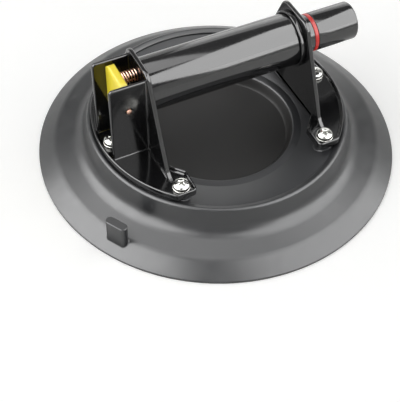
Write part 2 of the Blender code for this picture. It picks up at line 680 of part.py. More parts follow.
def build_bush(acetal):
    inner = PLUNGER_RADIUS + GAP
    body = BORE_RADIUS - GAP
    start = UPRIGHT_INNER - BUSH_LENGTH
    flange = UPRIGHT_OUTER + GAP
    end = flange + BUSH_FLANGE_THICKNESS
    outline = [(inner, start), (body, start), (body, flange), (BUSH_FLANGE_RADIUS, flange)]
    outline += [(BUSH_FLANGE_RADIUS, end - GAP), (BUSH_FLANGE_RADIUS - GAP, end), (inner, end)]
    add_object("plunger_bush", turned(outline), acetal, at=(0, 0, HANDLE_HEIGHT), turn=ALONG_X)


def build_plunger(black_gloss, red, acetal, rubber, steel):
    slide = bpy.data.objects.new("plunger_axis", None)
    bpy.context.scene.collection.objects.link(slide)
    slide.location = (0, 0, HANDLE_HEIGHT)
    place = {"at": (0, 0, HANDLE_HEIGHT), "turn": ALONG_X, "parent": slide}

    bore = PLUNGER_RADIUS - PLUNGER_WALL
    start = PISTON_STOP + GAP
    cap_face = PLUNGER_END - CAP_THICKNESS
    band = UPRIGHT_OUTER + BAND_OFFSET
    groove = PLUNGER_RADIUS - BAND_DEPTH
    sleeve = [(bore, start), (PLUNGER_RADIUS, start), (PLUNGER_RADIUS, band), (groove, band)]
    sleeve += [(groove, band + BAND_WIDTH), (PLUNGER_RADIUS, band + BAND_WIDTH)]
    sleeve += [(PLUNGER_RADIUS, cap_face - GAP), (bore, cap_face - GAP)]
    add_object("plunger_sleeve", turned(sleeve), black_gloss, **place)

    ring = washer_shape(groove + GAP, PLUNGER_RADIUS, band + GAP, band + BAND_WIDTH - GAP)
    add_object("red_band", ring, red, **place)

    rounding = arc((PLUNGER_RADIUS - CAP_ROUNDING, PLUNGER_END - CAP_ROUNDING), CAP_ROUNDING, 0, 90, 4)
    cap = [(0, cap_face - CAP_SPIGOT), (bore - GAP, cap_face - CAP_SPIGOT), (bore - GAP, cap_face)]
    cap += [(PLUNGER_RADIUS, cap_face)] + rounding + [(0, PLUNGER_END)]
    add_object("plunger_cap", turned(cap), black_gloss, **place)

    left = PISTON_STOP - PISTON_LENGTH
    radius = BORE_RADIUS - 2 * GAP
    middle = PISTON_STOP - PISTON_LENGTH / 2
    low, high = middle - PISTON_GROOVE_WIDTH / 2, middle + PISTON_GROOVE_WIDTH / 2
    bottom = radius - PISTON_GROOVE_DEPTH
    spigot = bore - GAP
    spigot_bore = EXHAUST_RADIUS + 2 * GAP
    stem_hole = VALVE_STEM_RADIUS + GAP
    spigot_end = PISTON_STOP + PISTON_SPIGOT
    outline = [(stem_hole, left), (radius, left), (radius, low), (bottom, low), (bottom, high)]
    outline += [(radius, high), (radius, PISTON_STOP), (spigot, PISTON_STOP), (spigot, spigot_end)]
    outline += [(spigot_bore, spigot_end), (spigot_bore, PISTON_STOP), (stem_hole, PISTON_STOP)]
    piston = add_object("piston", turned(outline), acetal, **place)
    for number in range(4):
        angle = math.pi / 2 * number + math.pi / 4
        ring_radius = (stem_hole + EXHAUST_RADIUS) / 2
        at = (0, ring_radius * math.cos(angle), HANDLE_HEIGHT + ring_radius * math.sin(angle))
        port = disc(PORT_RADIUS, left - PISTON_LENGTH, PISTON_STOP + PISTON_LENGTH, 8)
        cut(piston, helper(f"exhaust_port_{number}", port, at=at, turn=ALONG_X, parent=slide))

    lips = [(bottom + GAP, low + GAP), (BORE_RADIUS - GAP, low + GAP), (BORE_RADIUS - 2 * GAP, middle)]
    lips += [(BORE_RADIUS - GAP, high - GAP), (bottom + GAP, high - GAP)]
    add_object("piston_cup", turned(lips), rubber, **place)

    face = PISTON_STOP + GAP
    valve = [(0, left), (VALVE_STEM_RADIUS, left), (VALVE_STEM_RADIUS, face), (EXHAUST_RADIUS, face)]
    valve += [(EXHAUST_RADIUS, face + VALVE_THICKNESS / 2), (0, face + VALVE_THICKNESS)]
    add_object("exhaust_valve", turned(valve, SMALL_SIDES), rubber, **place)

    coil = (intake_valve_radius() + GAP + BORE_RADIUS) / 2
    first = PUMP_FACE + GAP + SPRING_WIRE
    last = left - GAP - SPRING_WIRE
    wire = pipe(helix(coil, last - first, SPRING_TURNS), SPRING_WIRE)
    add_object("plunger_spring", wire, steel, at=(first, 0, HANDLE_HEIGHT))


def build_lever(yellow, rubber, copper, brass):
    pivot = bpy.data.objects.new("lever_axis", None)
    bpy.context.scene.collection.objects.link(pivot)
    pivot.location = (PIN_X, 0, PIN_HEIGHT)
    half = CHANNEL_WIDTH / 2 - GAP
    corners = [(-half, -LEVER_DOWN, GAP), (half, -LEVER_DOWN, GAP)]
    corners += [(half, LEVER_UP, LEVER_CORNER), (-half, LEVER_UP, LEVER_CORNER)]
    inner_face = LEVER_THICKNESS - LEVER_LEAD
    blade = prism(rounded(corners, 5), -LEVER_LEAD - GAP, inner_face + GAP, plane="YZ")
    lever = add_object("release_lever", blade, yellow, at=pivot.location, parent=pivot)
    top = LEVER_UP + GAP
    side = [(-LEVER_LEAD, -LEVER_DOWN - GAP, 0), (inner_face, -LEVER_DOWN - GAP, 0), (inner_face, top, 0)]
    side.append((-LEVER_LEAD, top, LEVER_EASE))
    section = prism(rounded(side, 4), -CHANNEL_WIDTH, CHANNEL_WIDTH, plane="XZ")
    combine(lever, helper("lever_section", section, at=pivot.location, parent=pivot), "INTERSECT")
    hub = disc(HUB_RADIUS, GAP - half, half - GAP, SMALL_SIDES)
    join(lever, helper("lever_hub", hub, at=pivot.location, turn=ALONG_Y, parent=pivot))
    pin_hole = disc(PIN_RADIUS + GAP, -CHANNEL_WIDTH, CHANNEL_WIDTH, SMALL_SIDES)
    cut(lever, helper("lever_pin_hole", pin_hole, at=pivot.location, turn=ALONG_Y, parent=pivot))
    at = (LEVER_INNER, NOZZLE_SIDE, NOZZLE_Z)
    stem_hole = disc(AIR_PAD_STEM + GAP, -AIR_PAD_STEM_LENGTH - GAP, AIR_PAD_THICKNESS, SMALL_SIDES)
    cut(lever, helper("air_pad_hole", stem_hole, at=at, turn=ALONG_X, parent=pivot))

    pad = [(0, GAP - AIR_PAD_STEM_LENGTH), (AIR_PAD_STEM, GAP - AIR_PAD_STEM_LENGTH), (AIR_PAD_STEM, GAP)]
    pad += [(AIR_PAD_RADIUS, GAP), (AIR_PAD_RADIUS, GAP + AIR_PAD_THICKNESS), (0, GAP + AIR_PAD_THICKNESS)]
    add_object("air_valve_pad", turned(pad, SMALL_SIDES), rubber, at=at, turn=ALONG_X, parent=pivot)

    cheek = CHANNEL_WIDTH / 2 + CHEEK_THICKNESS + GAP
    rivet = [(0, -cheek - PIN_HEAD_HEIGHT), (PIN_HEAD_FLAT, -cheek - PIN_HEAD_HEIGHT)]
    rivet += [(PIN_HEAD_RADIUS, -cheek - PIN_HEAD_RIM), (PIN_HEAD_RADIUS, -cheek), (PIN_RADIUS, -cheek)]
    rivet += [(radius, -height) for radius, height in reversed(rivet)]
    add_object("lever_pin", turned(rivet, SMALL_SIDES), copper, at=pivot.location, turn=ALONG_Y)

    first = LEVER_INNER + GAP + VALVE_SPRING_WIRE
    last = -UPRIGHT_OUTER - GAP - VALVE_SPRING_WIRE
    wire = pipe(helix(VALVE_SPRING_RADIUS, last - first, VALVE_SPRING_TURNS), VALVE_SPRING_WIRE)
    add_object("valve_spring", wire, copper, at=(first, 0, VALVE_SPRING_Z))

    tip = LEVER_INNER + AIR_PAD_THICKNESS + 2 * GAP
    flange = -UPRIGHT_OUTER - GAP
    inside = -UPRIGHT_INNER + GAP + PIPE_ENTRY
    nozzle = [(NOZZLE_BORE, tip), (NOZZLE_TIP_RADIUS, tip), (NOZZLE_RADIUS, tip + GAP)]
    shoulder = flange - FITTING_FLANGE_THICKNESS
    nozzle += [(NOZZLE_RADIUS, shoulder), (FITTING_FLANGE, shoulder), (FITTING_FLANGE, flange)]
    nozzle += [(NOZZLE_RADIUS, flange), (NOZZLE_RADIUS, inside), (NOZZLE_BORE, inside)]
    at = (0, NOZZLE_SIDE, NOZZLE_Z)
    add_object("air_nozzle", turned(nozzle, SMALL_SIDES), brass, at=at, turn=ALONG_X)


def build_suction_line(steel, rubber, felt, acetal):
    """Pipe from the pump head down the channel to the pad, with its seal, filter and filter cover."""
    inside = -UPRIGHT_INNER + GAP + PIPE_ENTRY
    centre = Vector((PIPE_X + PIPE_BEND, PIPE_Z - PIPE_BEND))
    bend = [(x, PIPE_SIDE, z) for x, z in arc(centre, PIPE_BEND, 90, 180, 8)]
    bottom = port_boss_bottom() + GAP
    path = [(inside, PIPE_SIDE, PIPE_Z)] + bend + [(PIPE_X, PIPE_SIDE, bottom)]
    add_object("suction_pipe", pipe(path, PIPE_RADIUS, PIPE_BORE, 12), steel)

    low = port_boss_top() + GAP
    ring = washer_shape(PIPE_RADIUS + GAP, SEAL_RING_RADIUS, low, low + SEAL_RING_HEIGHT, SMALL_SIDES)
    add_object("pipe_seal", ring, rubber, at=(PIPE_X, PIPE_SIDE, 0))

    pad_filter = disc(FILTER_RADIUS, CAVITY_HEIGHT, CAVITY_HEIGHT + FILTER_THICKNESS, SMALL_SIDES)
    add_object("inlet_filter", pad_filter, felt, at=(PIPE_X, PIPE_SIDE, 0))
    high = CAVITY_HEIGHT - GAP
    plate = disc(COVER_RADIUS, high - COVER_THICKNESS, high, SMALL_SIDES)
    cover = add_object("filter_cover", plate, acetal, at=(PIPE_X, PIPE_SIDE, 0))
    for number in range(6):
        angle = math.radians(60 * number)
        ring_radius = COVER_RADIUS / 2
        at = (PIPE_X + ring_radius * math.cos(angle), PIPE_SIDE + ring_radius * math.sin(angle), 0)
        cut(cover, helper(f"cover_hole_{number}", disc(COVER_HOLE, 0, CAVITY_HEIGHT * 2, 8), at=at))


def build():
    clear_scene()
    rubber = finish("pad_rubber", (0.062, 0.063, 0.067), 0.55)
    seal_rubber = finish("seal_rubber", (0.02, 0.02, 0.02), 0.6)
    coated_metal = finish("coated_aluminium", (0.058, 0.06, 0.064), 0.45)
    black_gloss = finish("black_enamel", (0.006, 0.006, 0.006), 0.12)
    zinc = finish("bright_zinc", (0.80, 0.80, 0.78), 0.15, 1.0)
    steel = finish("steel", (0.60, 0.60, 0.60), 0.3, 1.0)
    acetal = finish("black_acetal", (0.02, 0.02, 0.02), 0.4)
    yellow = finish("yellow_nylon", (1.0, 0.72, 0.02), 0.35)
    red = finish("red_band", (0.75, 0.02, 0.02), 0.4)
    copper = finish("copper", (0.90, 0.45, 0.32), 0.2, 1.0)
    brass = finish("brass", (0.80, 0.60, 0.28), 0.3, 1.0)
    felt = finish("filter_felt", (0.75, 0.74, 0.70), 0.9)
    build_pad(rubber)
    build_plate(coated_metal)
    build_valve_bracket(black_gloss)
    build_pump_bracket(black_gloss)
    build_screws(zinc, steel)
    build_barrel(black_gloss, black_gloss)
    build_pump_head(acetal, seal_rubber)
    build_bush(acetal)
    build_plunger(black_gloss, red, acetal, seal_rubber, steel)
    build_lever(yellow, seal_rubber, copper, brass)
    build_suction_line(steel, seal_rubber, felt, acetal)


build()
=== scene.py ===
"""Looks of the vacuum lifter: its pieces as moulded, cast, turned and plated, in a plain studio.

Lengths are in metres. The pad's centre is the origin, X runs along the handle and Z points up.
"""

import math

import bmesh
import bpy
from mathutils import Matrix, Vector


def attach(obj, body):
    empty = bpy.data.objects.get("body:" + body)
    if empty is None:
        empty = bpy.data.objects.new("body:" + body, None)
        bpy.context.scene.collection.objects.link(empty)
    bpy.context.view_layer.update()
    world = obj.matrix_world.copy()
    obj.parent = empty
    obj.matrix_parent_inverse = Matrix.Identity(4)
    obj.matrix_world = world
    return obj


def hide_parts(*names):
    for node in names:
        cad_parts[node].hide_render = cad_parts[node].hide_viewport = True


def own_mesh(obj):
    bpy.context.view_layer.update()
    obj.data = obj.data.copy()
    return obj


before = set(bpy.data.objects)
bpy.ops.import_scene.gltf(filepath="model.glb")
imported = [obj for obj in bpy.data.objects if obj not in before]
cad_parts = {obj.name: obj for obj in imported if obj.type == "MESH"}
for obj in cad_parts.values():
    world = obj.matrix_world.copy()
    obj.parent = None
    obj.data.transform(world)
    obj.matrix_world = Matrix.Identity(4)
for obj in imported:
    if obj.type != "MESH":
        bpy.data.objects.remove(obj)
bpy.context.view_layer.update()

# The camera looks down on the lifter from its front left.
LENS = 86.41  # millimetres
SENSOR_WIDTH = 36  # millimetres
CAMERA_PLACE = Vector((-0.22719, -0.42921, 0.50607))
CAMERA_AIM = Vector((0.28946, 0.57696, -0.76376))
CAMERA_ROLL = 0.0186  # radians

camera = bpy.data.objects.new("camera", bpy.data.cameras.new("camera"))
camera.data.lens = LENS
camera.data.sensor_width = SENSOR_WIDTH
bpy.context.scene.collection.objects.link(camera)
level = CAMERA_AIM.cross(Vector((0, 0, 1))).normalized()
upright = level.cross(CAMERA_AIM)
camera_right = level * math.cos(CAMERA_ROLL) + upright * math.sin(CAMERA_ROLL)
camera_up = upright * math.cos(CAMERA_ROLL) - level * math.sin(CAMERA_ROLL)
camera_turn = Matrix((camera_right, camera_up, -CAMERA_AIM)).transposed().to_4x4()
camera.matrix_world = Matrix.Translation(CAMERA_PLACE) @ camera_turn
bpy.context.scene.camera = camera
bpy.context.scene.view_settings.view_transform = "Standard"

# Studio: a pale painted floor that curves up into a low wall all round, a dim ceiling, two soft lamps for
# the surfaces, and large softboxes that show as the light bands in gloss.
FLOOR_WHITE = "F6F6F5"
FLOOR_GLOW = 0.2  # what the eye sees beside the lamps' own light on the paint
FLOOR_MIDDLE = 0.5  # radius of the ring where the floor's middle ends
FLOOR_RADIUS = 2.6
COVE_RADIUS = 0.3
WALL_HEIGHT = 1.1
FLOOR_DROP = 0.0002  # clears the pad's lip
CEILING_LEVEL = 0.27  # how light the room is above the wall


def linear(code):
    """An sRGB hex colour as linear RGBA."""
    levels = [int(code[place : place + 2], 16) / 255 for place in (0, 2, 4)]
    return (*(level / 12.92 if level <= 0.04045 else ((level + 0.055) / 1.055) ** 2.4 for level in levels), 1)


def add_node(material, kind, inputs=None, **settings):
    """Adds a shader node. inputs gives each socket a value, or another node's output to take."""
    tree = material.node_tree
    made = tree.nodes.new(kind)
    for name, value in settings.items():
        setattr(made, name, value)
    for socket, value in (inputs or {}).items():
        if isinstance(value, bpy.types.NodeSocket):
            tree.links.new(value, made.inputs[socket])
        else:
            made.inputs[socket].default_value = value
    return made


def new_material(name):
    material = bpy.data.materials.new(name)
    material.use_nodes = True
    material.node_tree.nodes.clear()
    return material


def add_mesh(name, shape, material, crisp=30):
    """Makes an object from a bmesh, smooth but for edges sharper than crisp degrees."""
    bmesh.ops.recalc_face_normals(shape, faces=shape.faces)
    mesh = bpy.data.meshes.new(name)
    shape.to_mesh(mesh)
    shape.free()
    mesh.shade_smooth()
    mesh.set_sharp_from_angle(angle=math.radians(crisp))
    obj = bpy.data.objects.new(name, mesh)
    bpy.context.scene.collection.objects.link(obj)
    if material:
        mesh.materials.append(material)
    return obj


def turned(outline, segments=96):
    """Turns a (radius, height) outline about Z. A point on the axis closes the shape there; an outline that
    doesn't start on the axis is a closed ring."""
    shape = bmesh.new()
    rings = []
    for radius, height in outline:
        if radius == 0:
            rings.append([shape.verts.new((0, 0, height))] * segments)
            continue
        ring = []
        for segment in range(segments):
            angle = 2 * math.pi * segment / segments
            ring.append(shape.verts.new((radius * math.cos(angle), radius * math.sin(angle), height)))
        rings.append(ring)
    pairs = list(zip(rings, rings[1:]))
    if outline[0][0] != 0:
        pairs.append((rings[-1], rings[0]))
    for ring, following in pairs:
        for segment in range(segments):
            after = (segment + 1) % segments
            corners = (ring[segment], ring[after], following[after], following[segment])
            shape.faces.new(list(dict.fromkeys(corners)))
    return shape


def eased(corners, steps=5, closed=False):
    """An outline from (x, y, radius) corners, each eased by an arc of its radius."""
    points = []
    for number, (x, y, radius) in enumerate(corners):
        open_end = not closed and number in (0, len(corners) - 1)
        if radius == 0 or open_end:
            points.append((x, y))
            continue
        here = Vector((x, y))
        before = Vector(corners[number - 1][:2]) - here
        after = Vector(corners[(number + 1) % len(corners)][:2]) - here
        half_angle = before.angle(after) / 2
        tangent = min(radius / math.tan(half_angle), before.length * 0.49, after.length * 0.49)
        before.normalize()
        after.normalize()
        fitted = tangent * math.tan(half_angle)
        middle = here + (before + after).normalized() * fitted / math.sin(half_angle)
        first = (here + before * tangent - middle).normalized()
        last = (here + after * tangent - middle).normalized()
        for step in range(steps + 1):
            points.append(tuple(middle + first.slerp(last, step / steps) * fitted))
    return points


floor_paint = new_material("matt_white_paint")
# Rolled paint: a nap 2.5 mm across that only just shades.
paint_nap = add_node(floor_paint, "ShaderNodeTexNoise", {"Scale": 400.0, "Detail": 3.0})
paint_relief = add_node(
    floor_paint,
    "ShaderNodeBump",
    {"Strength": 0.1, "Distance": 0.0002, "Height": paint_nap.outputs["Fac"]},
)
path = add_node(floor_paint, "ShaderNodeLightPath").outputs
seen = add_node(
    floor_paint,
    "ShaderNodeMath",
    {0: path["Is Camera Ray"], 1: path["Is Glossy Ray"]},
    operation="ADD",
)
seen = add_node(
    floor_paint,
    "ShaderNodeMath",
    {0: seen.outputs[0], 1: path["Is Transmission Ray"]},
    operation="MAXIMUM",
)
glow = add_node(floor_paint, "ShaderNodeMath", {0: seen.outputs[0], 1: FLOOR_GLOW}, operation="MULTIPLY")
paint = add_node(
    floor_paint,
    "ShaderNodeBsdfPrincipled",
    {
        "Base Color": linear(FLOOR_WHITE),
        "Roughness": 0.9,
        "Specular IOR Level": 0.2,
        "Normal": paint_relief.outputs["Normal"],
        "Emission Color": linear(FLOOR_WHITE),
        "Emission Strength": glow.outputs[0],
    },
)
add_node(floor_paint, "ShaderNodeOutputMaterial", {"Surface": paint.outputs["BSDF"]})
cove = [(0, 0, 0), (FLOOR_MIDDLE, 0, 0), (FLOOR_RADIUS, 0, COVE_RADIUS), (FLOOR_RADIUS, WALL_HEIGHT, 0)]
studio_floor = add_mesh("studio_floor", turned(eased(cove, 12), 64), floor_paint)
studio_floor.location.z = -FLOOR_DROP

ceiling = bpy.data.worlds.new("dim_ceiling")
ceiling.use_nodes = True
ceiling.node_tree.nodes["Background"].inputs["Color"].default_value = (1, 1, 1, 1)
ceiling.node_tree.nodes["Background"].inputs["Strength"].default_value = CEILING_LEVEL
bpy.context.scene.world = ceiling


def softbox(name, bearing, elevation, distance, width, height, radiance, shows_in):
    """A flat lamp that faces the lifter, at a bearing and elevation in degrees. It shows in gloss or lights
    the surfaces, as shows_in says."""
    lamp = bpy.data.objects.new(name, bpy.data.lights.new(name, "AREA"))
    lamp.data.shape = "RECTANGLE"
    lamp.data.size = width
    lamp.data.size_y = height
    lamp.data.energy = radiance * math.pi * width * height
    turn, rise = math.radians(bearing), math.radians(elevation)
    towards = Vector((math.cos(turn) * math.cos(rise), math.sin(turn) * math.cos(rise), math.sin(rise)))
    lamp.location = towards * distance
    lamp.rotation_euler = towards.to_track_quat("Z", "Y").to_euler()
    lamp.visible_diffuse = shows_in == "surfaces"
    lamp.visible_glossy = shows_in == "gloss"
    lamp.visible_transmission = shows_in == "gloss"
    lamp.visible_camera = False
    bpy.context.scene.collection.objects.link(lamp)


LAMP_DISTANCE = 2.0
SOFTBOX_DISTANCE = 1.8
softbox("front_lamp", -39, 43, LAMP_DISTANCE, 2.8, 2.4, 1.0, "surfaces")
softbox("left_lamp", 166, 42, LAMP_DISTANCE, 2.9, 1.9, 1.6, "surfaces")
softbox("front_softbox", -39, 43, SOFTBOX_DISTANCE, 2.5, 2.15, 5.4, "gloss")
softbox("left_softbox", 170, 42, SOFTBOX_DISTANCE, 2.4, 1.7, 7.3, "gloss")
softbox("rear_strip", 56, 14, SOFTBOX_DISTANCE, 1.1, 1.6, 1.2, "gloss")
softbox("top_softbox", 104, 76, SOFTBOX_DISTANCE, 1.1, 1.6, 2.7, "gloss")

# Rubber pad, compression moulded in one piece from black EPDM: sealing lip, sloped flank, the raised ring
# that grips the plate's edge, and an oblong tab for peeling the pad off the load.
PAD_RADIUS = 0.127
RIM_HEIGHT = 0.0016
LIP_WIDTH = 0.006
CREASE = (0.115, 0.0096)
RING_FOOT = (0.0960, 0.0136)
RING_CREST = (0.0907, 0.0309)
LAP_RADIUS = 0.0858  # inner edge of the lap over the plate
LAP_THICKNESS = 0.0012
LAP_GAP = 0.0001
CAVITY_HEIGHT = 0.0066
CAVITY_RADIUS = 0.1118
RIB_INNER = 0.090  # the inner sealing rib, under the ring
RIB_OUTER = 0.093
RIB_DRAFT = 0.0006
RIB_DEPTH = 0.0016
PLATE_GAP = 0.0003
PLATE_THICKNESS = 0.0025
PLATE_LAND = (0.060, 0.0182)
PLATE_EDGE = (0.0885, 0.0284)
DISH_FLOOR = 0.011
DISH_RADIUS = 0.0495
DISH_LIP = 0.0552
TAB_AZIMUTH = math.radians(210.3)
TAB_REACH = 0.1171
TAB_LENGTH = 0.016
TAB_THICKNESS = 0.006
TAB_TOP = 0.024
OBLONG_STEPS = 48
OBLONG_EDGE = 0.0004
OBLONG_ROOT = 0.0001  # how far its foot is sunk in
RUBBER_BLACK = "202123"
RUBBER_BLOOM = "2A2B2D"


def plate_top(radius):
    """Height of the backing plate's upper face."""
    if radius <= DISH_LIP:
        share = max(0, (radius - DISH_RADIUS) / (DISH_LIP - DISH_RADIUS))
        return DISH_FLOOR + (PLATE_LAND[1] - DISH_FLOOR) * share**2 * (3 - 2 * share)
    share = max(0, (radius - PLATE_LAND[0]) / (PLATE_EDGE[0] - PLATE_LAND[0]))
    return PLATE_LAND[1] + (PLATE_EDGE[1] - PLATE_LAND[1]) * share


def pad_top(radius):
    """Height of the pad's sloped flank and of its bevel."""
    inner, outer = (RING_FOOT, CREASE) if radius < CREASE[0] else (CREASE, (PAD_RADIUS, RIM_HEIGHT))
    share = (radius - inner[0]) / (outer[0] - inner[0])
    return inner[1] + (outer[1] - inner[1]) * share


def moulded_rubber(name, black, bloom, grain):
    """Matt rubber: a fine moulded grain, bloom in clouds 26 mm across and faint rub marks 8 mm across. grain
    is in metres."""
    rubber = new_material(name)
    place = add_node(rubber, "ShaderNodeTexCoord").outputs["Object"]
    cloud = add_node(
        rubber,
        "ShaderNodeTexNoise",
        {"Vector": place, "Scale": 38.0, "Detail": 4.0, "Roughness": 0.6},
    )
    tint = add_node(
        rubber,
        "ShaderNodeMix",
        {"Factor": cloud.outputs["Fac"], 6: linear(black), 7: linear(bloom)},
        data_type="RGBA",
    )
    rub = add_node(
        rubber,
        "ShaderNodeTexNoise",
        {"Vector": place, "Scale": 120.0, "Detail": 5.0, "Roughness": 0.7},
    )
    polish = add_node(
        rubber,
        "ShaderNodeMapRange",
        {"Value": rub.outputs["Fac"], "From Min": 0.35, "From Max": 0.7, "To Min": 0.37, "To Max": 0.29},
    )
    skin = add_node(rubber, "ShaderNodeTexNoise", {"Vector": place, "Scale": 1 / grain, "Detail": 2.0})
    relief = add_node(
        rubber,
        "ShaderNodeBump",
        {"Strength": 0.35, "Distance": 0.00006, "Height": skin.outputs["Fac"]},
    )
    surface = add_node(
        rubber,
        "ShaderNodeBsdfPrincipled",
        {
            "Base Color": tint.outputs[2],
            "Roughness": polish.outputs["Result"],
            "Specular IOR Level": 0.65,
            "Normal": relief.outputs["Normal"],
        },
    )
    add_node(rubber, "ShaderNodeOutputMaterial", {"Surface": surface.outputs["BSDF"]})
    return rubber


pad_rubber = moulded_rubber("moulded_EPDM_rubber", RUBBER_BLACK, RUBBER_BLOOM, 0.0007)
below = PLATE_THICKNESS + PLATE_GAP
pad_corners = [
    (0, CAVITY_HEIGHT, 0),
    (RIB_INNER, CAVITY_HEIGHT, 0.0006),
    (RIB_INNER + RIB_DRAFT, CAVITY_HEIGHT - RIB_DEPTH, 0.0004),
    (RIB_OUTER - RIB_DRAFT, CAVITY_HEIGHT - RIB_DEPTH, 0.0004),
    (RIB_OUTER, CAVITY_HEIGHT, 0.0006),
    (CAVITY_RADIUS, CAVITY_HEIGHT, 0.0016),
    (PAD_RADIUS - LIP_WIDTH, 0, 0.0004),
    (PAD_RADIUS, 0, 0.0003),
    (PAD_RADIUS, RIM_HEIGHT, 0.0007),
    (*CREASE, 0.012),
    (*RING_FOOT, 0.012),
    (*RING_CREST, 0.0022),
    (LAP_RADIUS, plate_top(LAP_RADIUS) + LAP_THICKNESS, 0.0008),
    (LAP_RADIUS, plate_top(LAP_RADIUS) + LAP_GAP, 0),
    (PLATE_EDGE[0] + PLATE_GAP, PLATE_EDGE[1] + PLATE_GAP, 0),
    (PLATE_EDGE[0] + PLATE_GAP, PLATE_EDGE[1] - below, 0),
    (PLATE_LAND[0], PLATE_LAND[1] - below, 0),
    (DISH_RADIUS, DISH_FLOOR - below, 0),
    (0, DISH_FLOOR - below, 0),
]
pad_shape = turned(eased(pad_corners, 8), 256)


def raised_oblong(shape, place, turn, length, width, top, ground, flare):
    """Adds an upright oblong block whose foot flares out onto the surface under it."""
    half = width / 2
    foot_curve = ((1, 0), (0.42, 0.12), (0.12, 0.42), (0, 1))
    levels = [(flare * out, flare * up, True) for out, up in foot_curve]
    levels += [(0, top - OBLONG_EDGE, False), (-OBLONG_EDGE, top, False)]
    rings = []
    for grow, height, from_ground in levels:
        ring = []
        for step in range(OBLONG_STEPS):
            angle = 2 * math.pi * step / OBLONG_STEPS
            on_axis = abs(math.sin(angle)) < 1e-9
            shift = 0 if on_axis else math.copysign(length / 2 - half, math.sin(angle))
            across = (half + grow) * math.cos(angle)
            along = (half + grow) * math.sin(angle) + shift
            x = place[0] + across * math.cos(turn) - along * math.sin(turn)
            y = place[1] + across * math.sin(turn) + along * math.cos(turn)
            base = ground(math.hypot(x, y)) - OBLONG_ROOT if from_ground else 0
            ring.append(shape.verts.new((x, y, base + height)))
        rings.append(ring)
    for ring, following in zip(rings, rings[1:]):
        for step in range(OBLONG_STEPS):
            after = (step + 1) % OBLONG_STEPS
            shape.faces.new((ring[step], ring[after], following[after], following[step]))
    shape.faces.new(rings[-1])
    shape.faces.new(rings[0])


tab_place = (TAB_REACH * math.cos(TAB_AZIMUTH), TAB_REACH * math.sin(TAB_AZIMUTH))
raised_oblong(pad_shape, tab_place, TAB_AZIMUTH, TAB_LENGTH, TAB_THICKNESS, TAB_TOP, pad_top, flare=0.0009)
pad = add_mesh("pad_moulding", pad_shape, pad_rubber, 40)
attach(pad, "frame")
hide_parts("rubber_pad")

# Backing plate, die cast in aluminium and coated satin charcoal: a dished middle in a matt coat whose darker
# colour is painted shade from the tube and upright above it, a narrow land, a conical rim, six tapped bosses
# for the brackets and one boss for the suction pipe.
PLATE_CHARCOAL = "252629"
# The middle's darker black is painted shade from the tube and the upright that stand over it. It ends just
# inside the dish's lip.
MIDDLE_PAINTED_SHADE = "1F1E1D"
PAINTED_SHADE_RADIUS = 0.054  # just inside the dish's lip
BOSS_RADIUS = 0.006
BOSS_TOP = 0.030
SCREW_PLACES = {
    "valve_front": (-0.05374, -0.05613),
    "valve_outer": (-0.079, 0),
    "valve_rear": (-0.05374, 0.05613),
    "pump_front": (0.05374, -0.05613),
    "pump_outer": (0.079, 0),
    "pump_rear": (0.05374, 0.05613),
}
PIPE_PLACE = (-0.06455, 0.0055)
PIPE_BOSS_RADIUS = 0.0058
PIPE_BOSS_TOP = 0.0229
WALL_STEPS = 16  # rings of faces on the dish's wall


def satin_coat(name, code, roughness, gloss):
    """A satin or matt coat: orange peel about 1 mm across, and faint clouds 33 mm across."""
    coat = new_material(name)
    place = add_node(coat, "ShaderNodeTexCoord").outputs["Object"]
    cloud = add_node(coat, "ShaderNodeTexNoise", {"Vector": place, "Scale": 30.0, "Detail": 3.0})
    shade = add_node(
        coat,
        "ShaderNodeMapRange",
        {"Value": cloud.outputs["Fac"], "To Min": 0.92, "To Max": 1.08},
    )
    tint = add_node(
        coat,
        "ShaderNodeHueSaturation",
        {"Color": linear(code), "Value": shade.outputs["Result"]},
    )
    peel = add_node(coat, "ShaderNodeTexNoise", {"Vector": place, "Scale": 900.0, "Detail": 1.0})
    relief = add_node(
        coat,
        "ShaderNodeBump",
        {"Strength": 0.25, "Distance": 0.00004, "Height": peel.outputs["Fac"]},
    )
    surface = add_node(
        coat,
        "ShaderNodeBsdfPrincipled",
        {
            "Base Color": tint.outputs["Color"],
            "Roughness": roughness,
            "Specular IOR Level": gloss,
            "Normal": relief.outputs["Normal"],
        },
    )
    add_node(coat, "ShaderNodeOutputMaterial", {"Surface": surface.outputs["BSDF"]})
    return coat


plate_coat = satin_coat("satin_powder_coat", PLATE_CHARCOAL, 0.42, 0.65)
# A matt coat for the dished middle. Its colour is darker than the rim's, and that darker colour is painted
# shade.
middle_painted_shade = satin_coat("matt_coat_painted_shade", MIDDLE_PAINTED_SHADE, 0.5, 0.28)
top_face = [(0, plate_top(0), 0)]
for step in range(WALL_STEPS + 1):
    radius = DISH_RADIUS + (DISH_LIP - DISH_RADIUS) * step / WALL_STEPS
    top_face.append((radius, plate_top(radius), 0))
top_face += [(*PLATE_LAND, 0.002), (*PLATE_EDGE, 0.0003)]
under_face = [
    (PLATE_EDGE[0], PLATE_EDGE[1] - PLATE_THICKNESS, 0.0003),
    (PLATE_LAND[0], PLATE_LAND[1] - PLATE_THICKNESS, 0),
    (DISH_RADIUS, DISH_FLOOR - PLATE_THICKNESS, 0),
    (0, DISH_FLOOR - PLATE_THICKNESS, 0),
]
plate_shape = turned(eased(top_face + under_face, 4), 256)
for x, y in SCREW_PLACES.values():
    raised_oblong(plate_shape, (x, y), 0, 2 * BOSS_RADIUS, 2 * BOSS_RADIUS, BOSS_TOP, plate_top, flare=0.0012)
pipe_boss = (2 * PIPE_BOSS_RADIUS, 2 * PIPE_BOSS_RADIUS, PIPE_BOSS_TOP)
raised_oblong(plate_shape, PIPE_PLACE, 0, *pipe_boss, plate_top, flare=0.001)
plate = add_mesh("plate_casting", plate_shape, plate_coat, 40)
plate.data.materials.append(middle_painted_shade)
# The faces of the dished middle take the painted shade.
for face in plate.data.polygons:
    face.material_index = int(face.center.xy.length < PAINTED_SHADE_RADIUS)
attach(plate, "frame")
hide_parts("backing_plate")

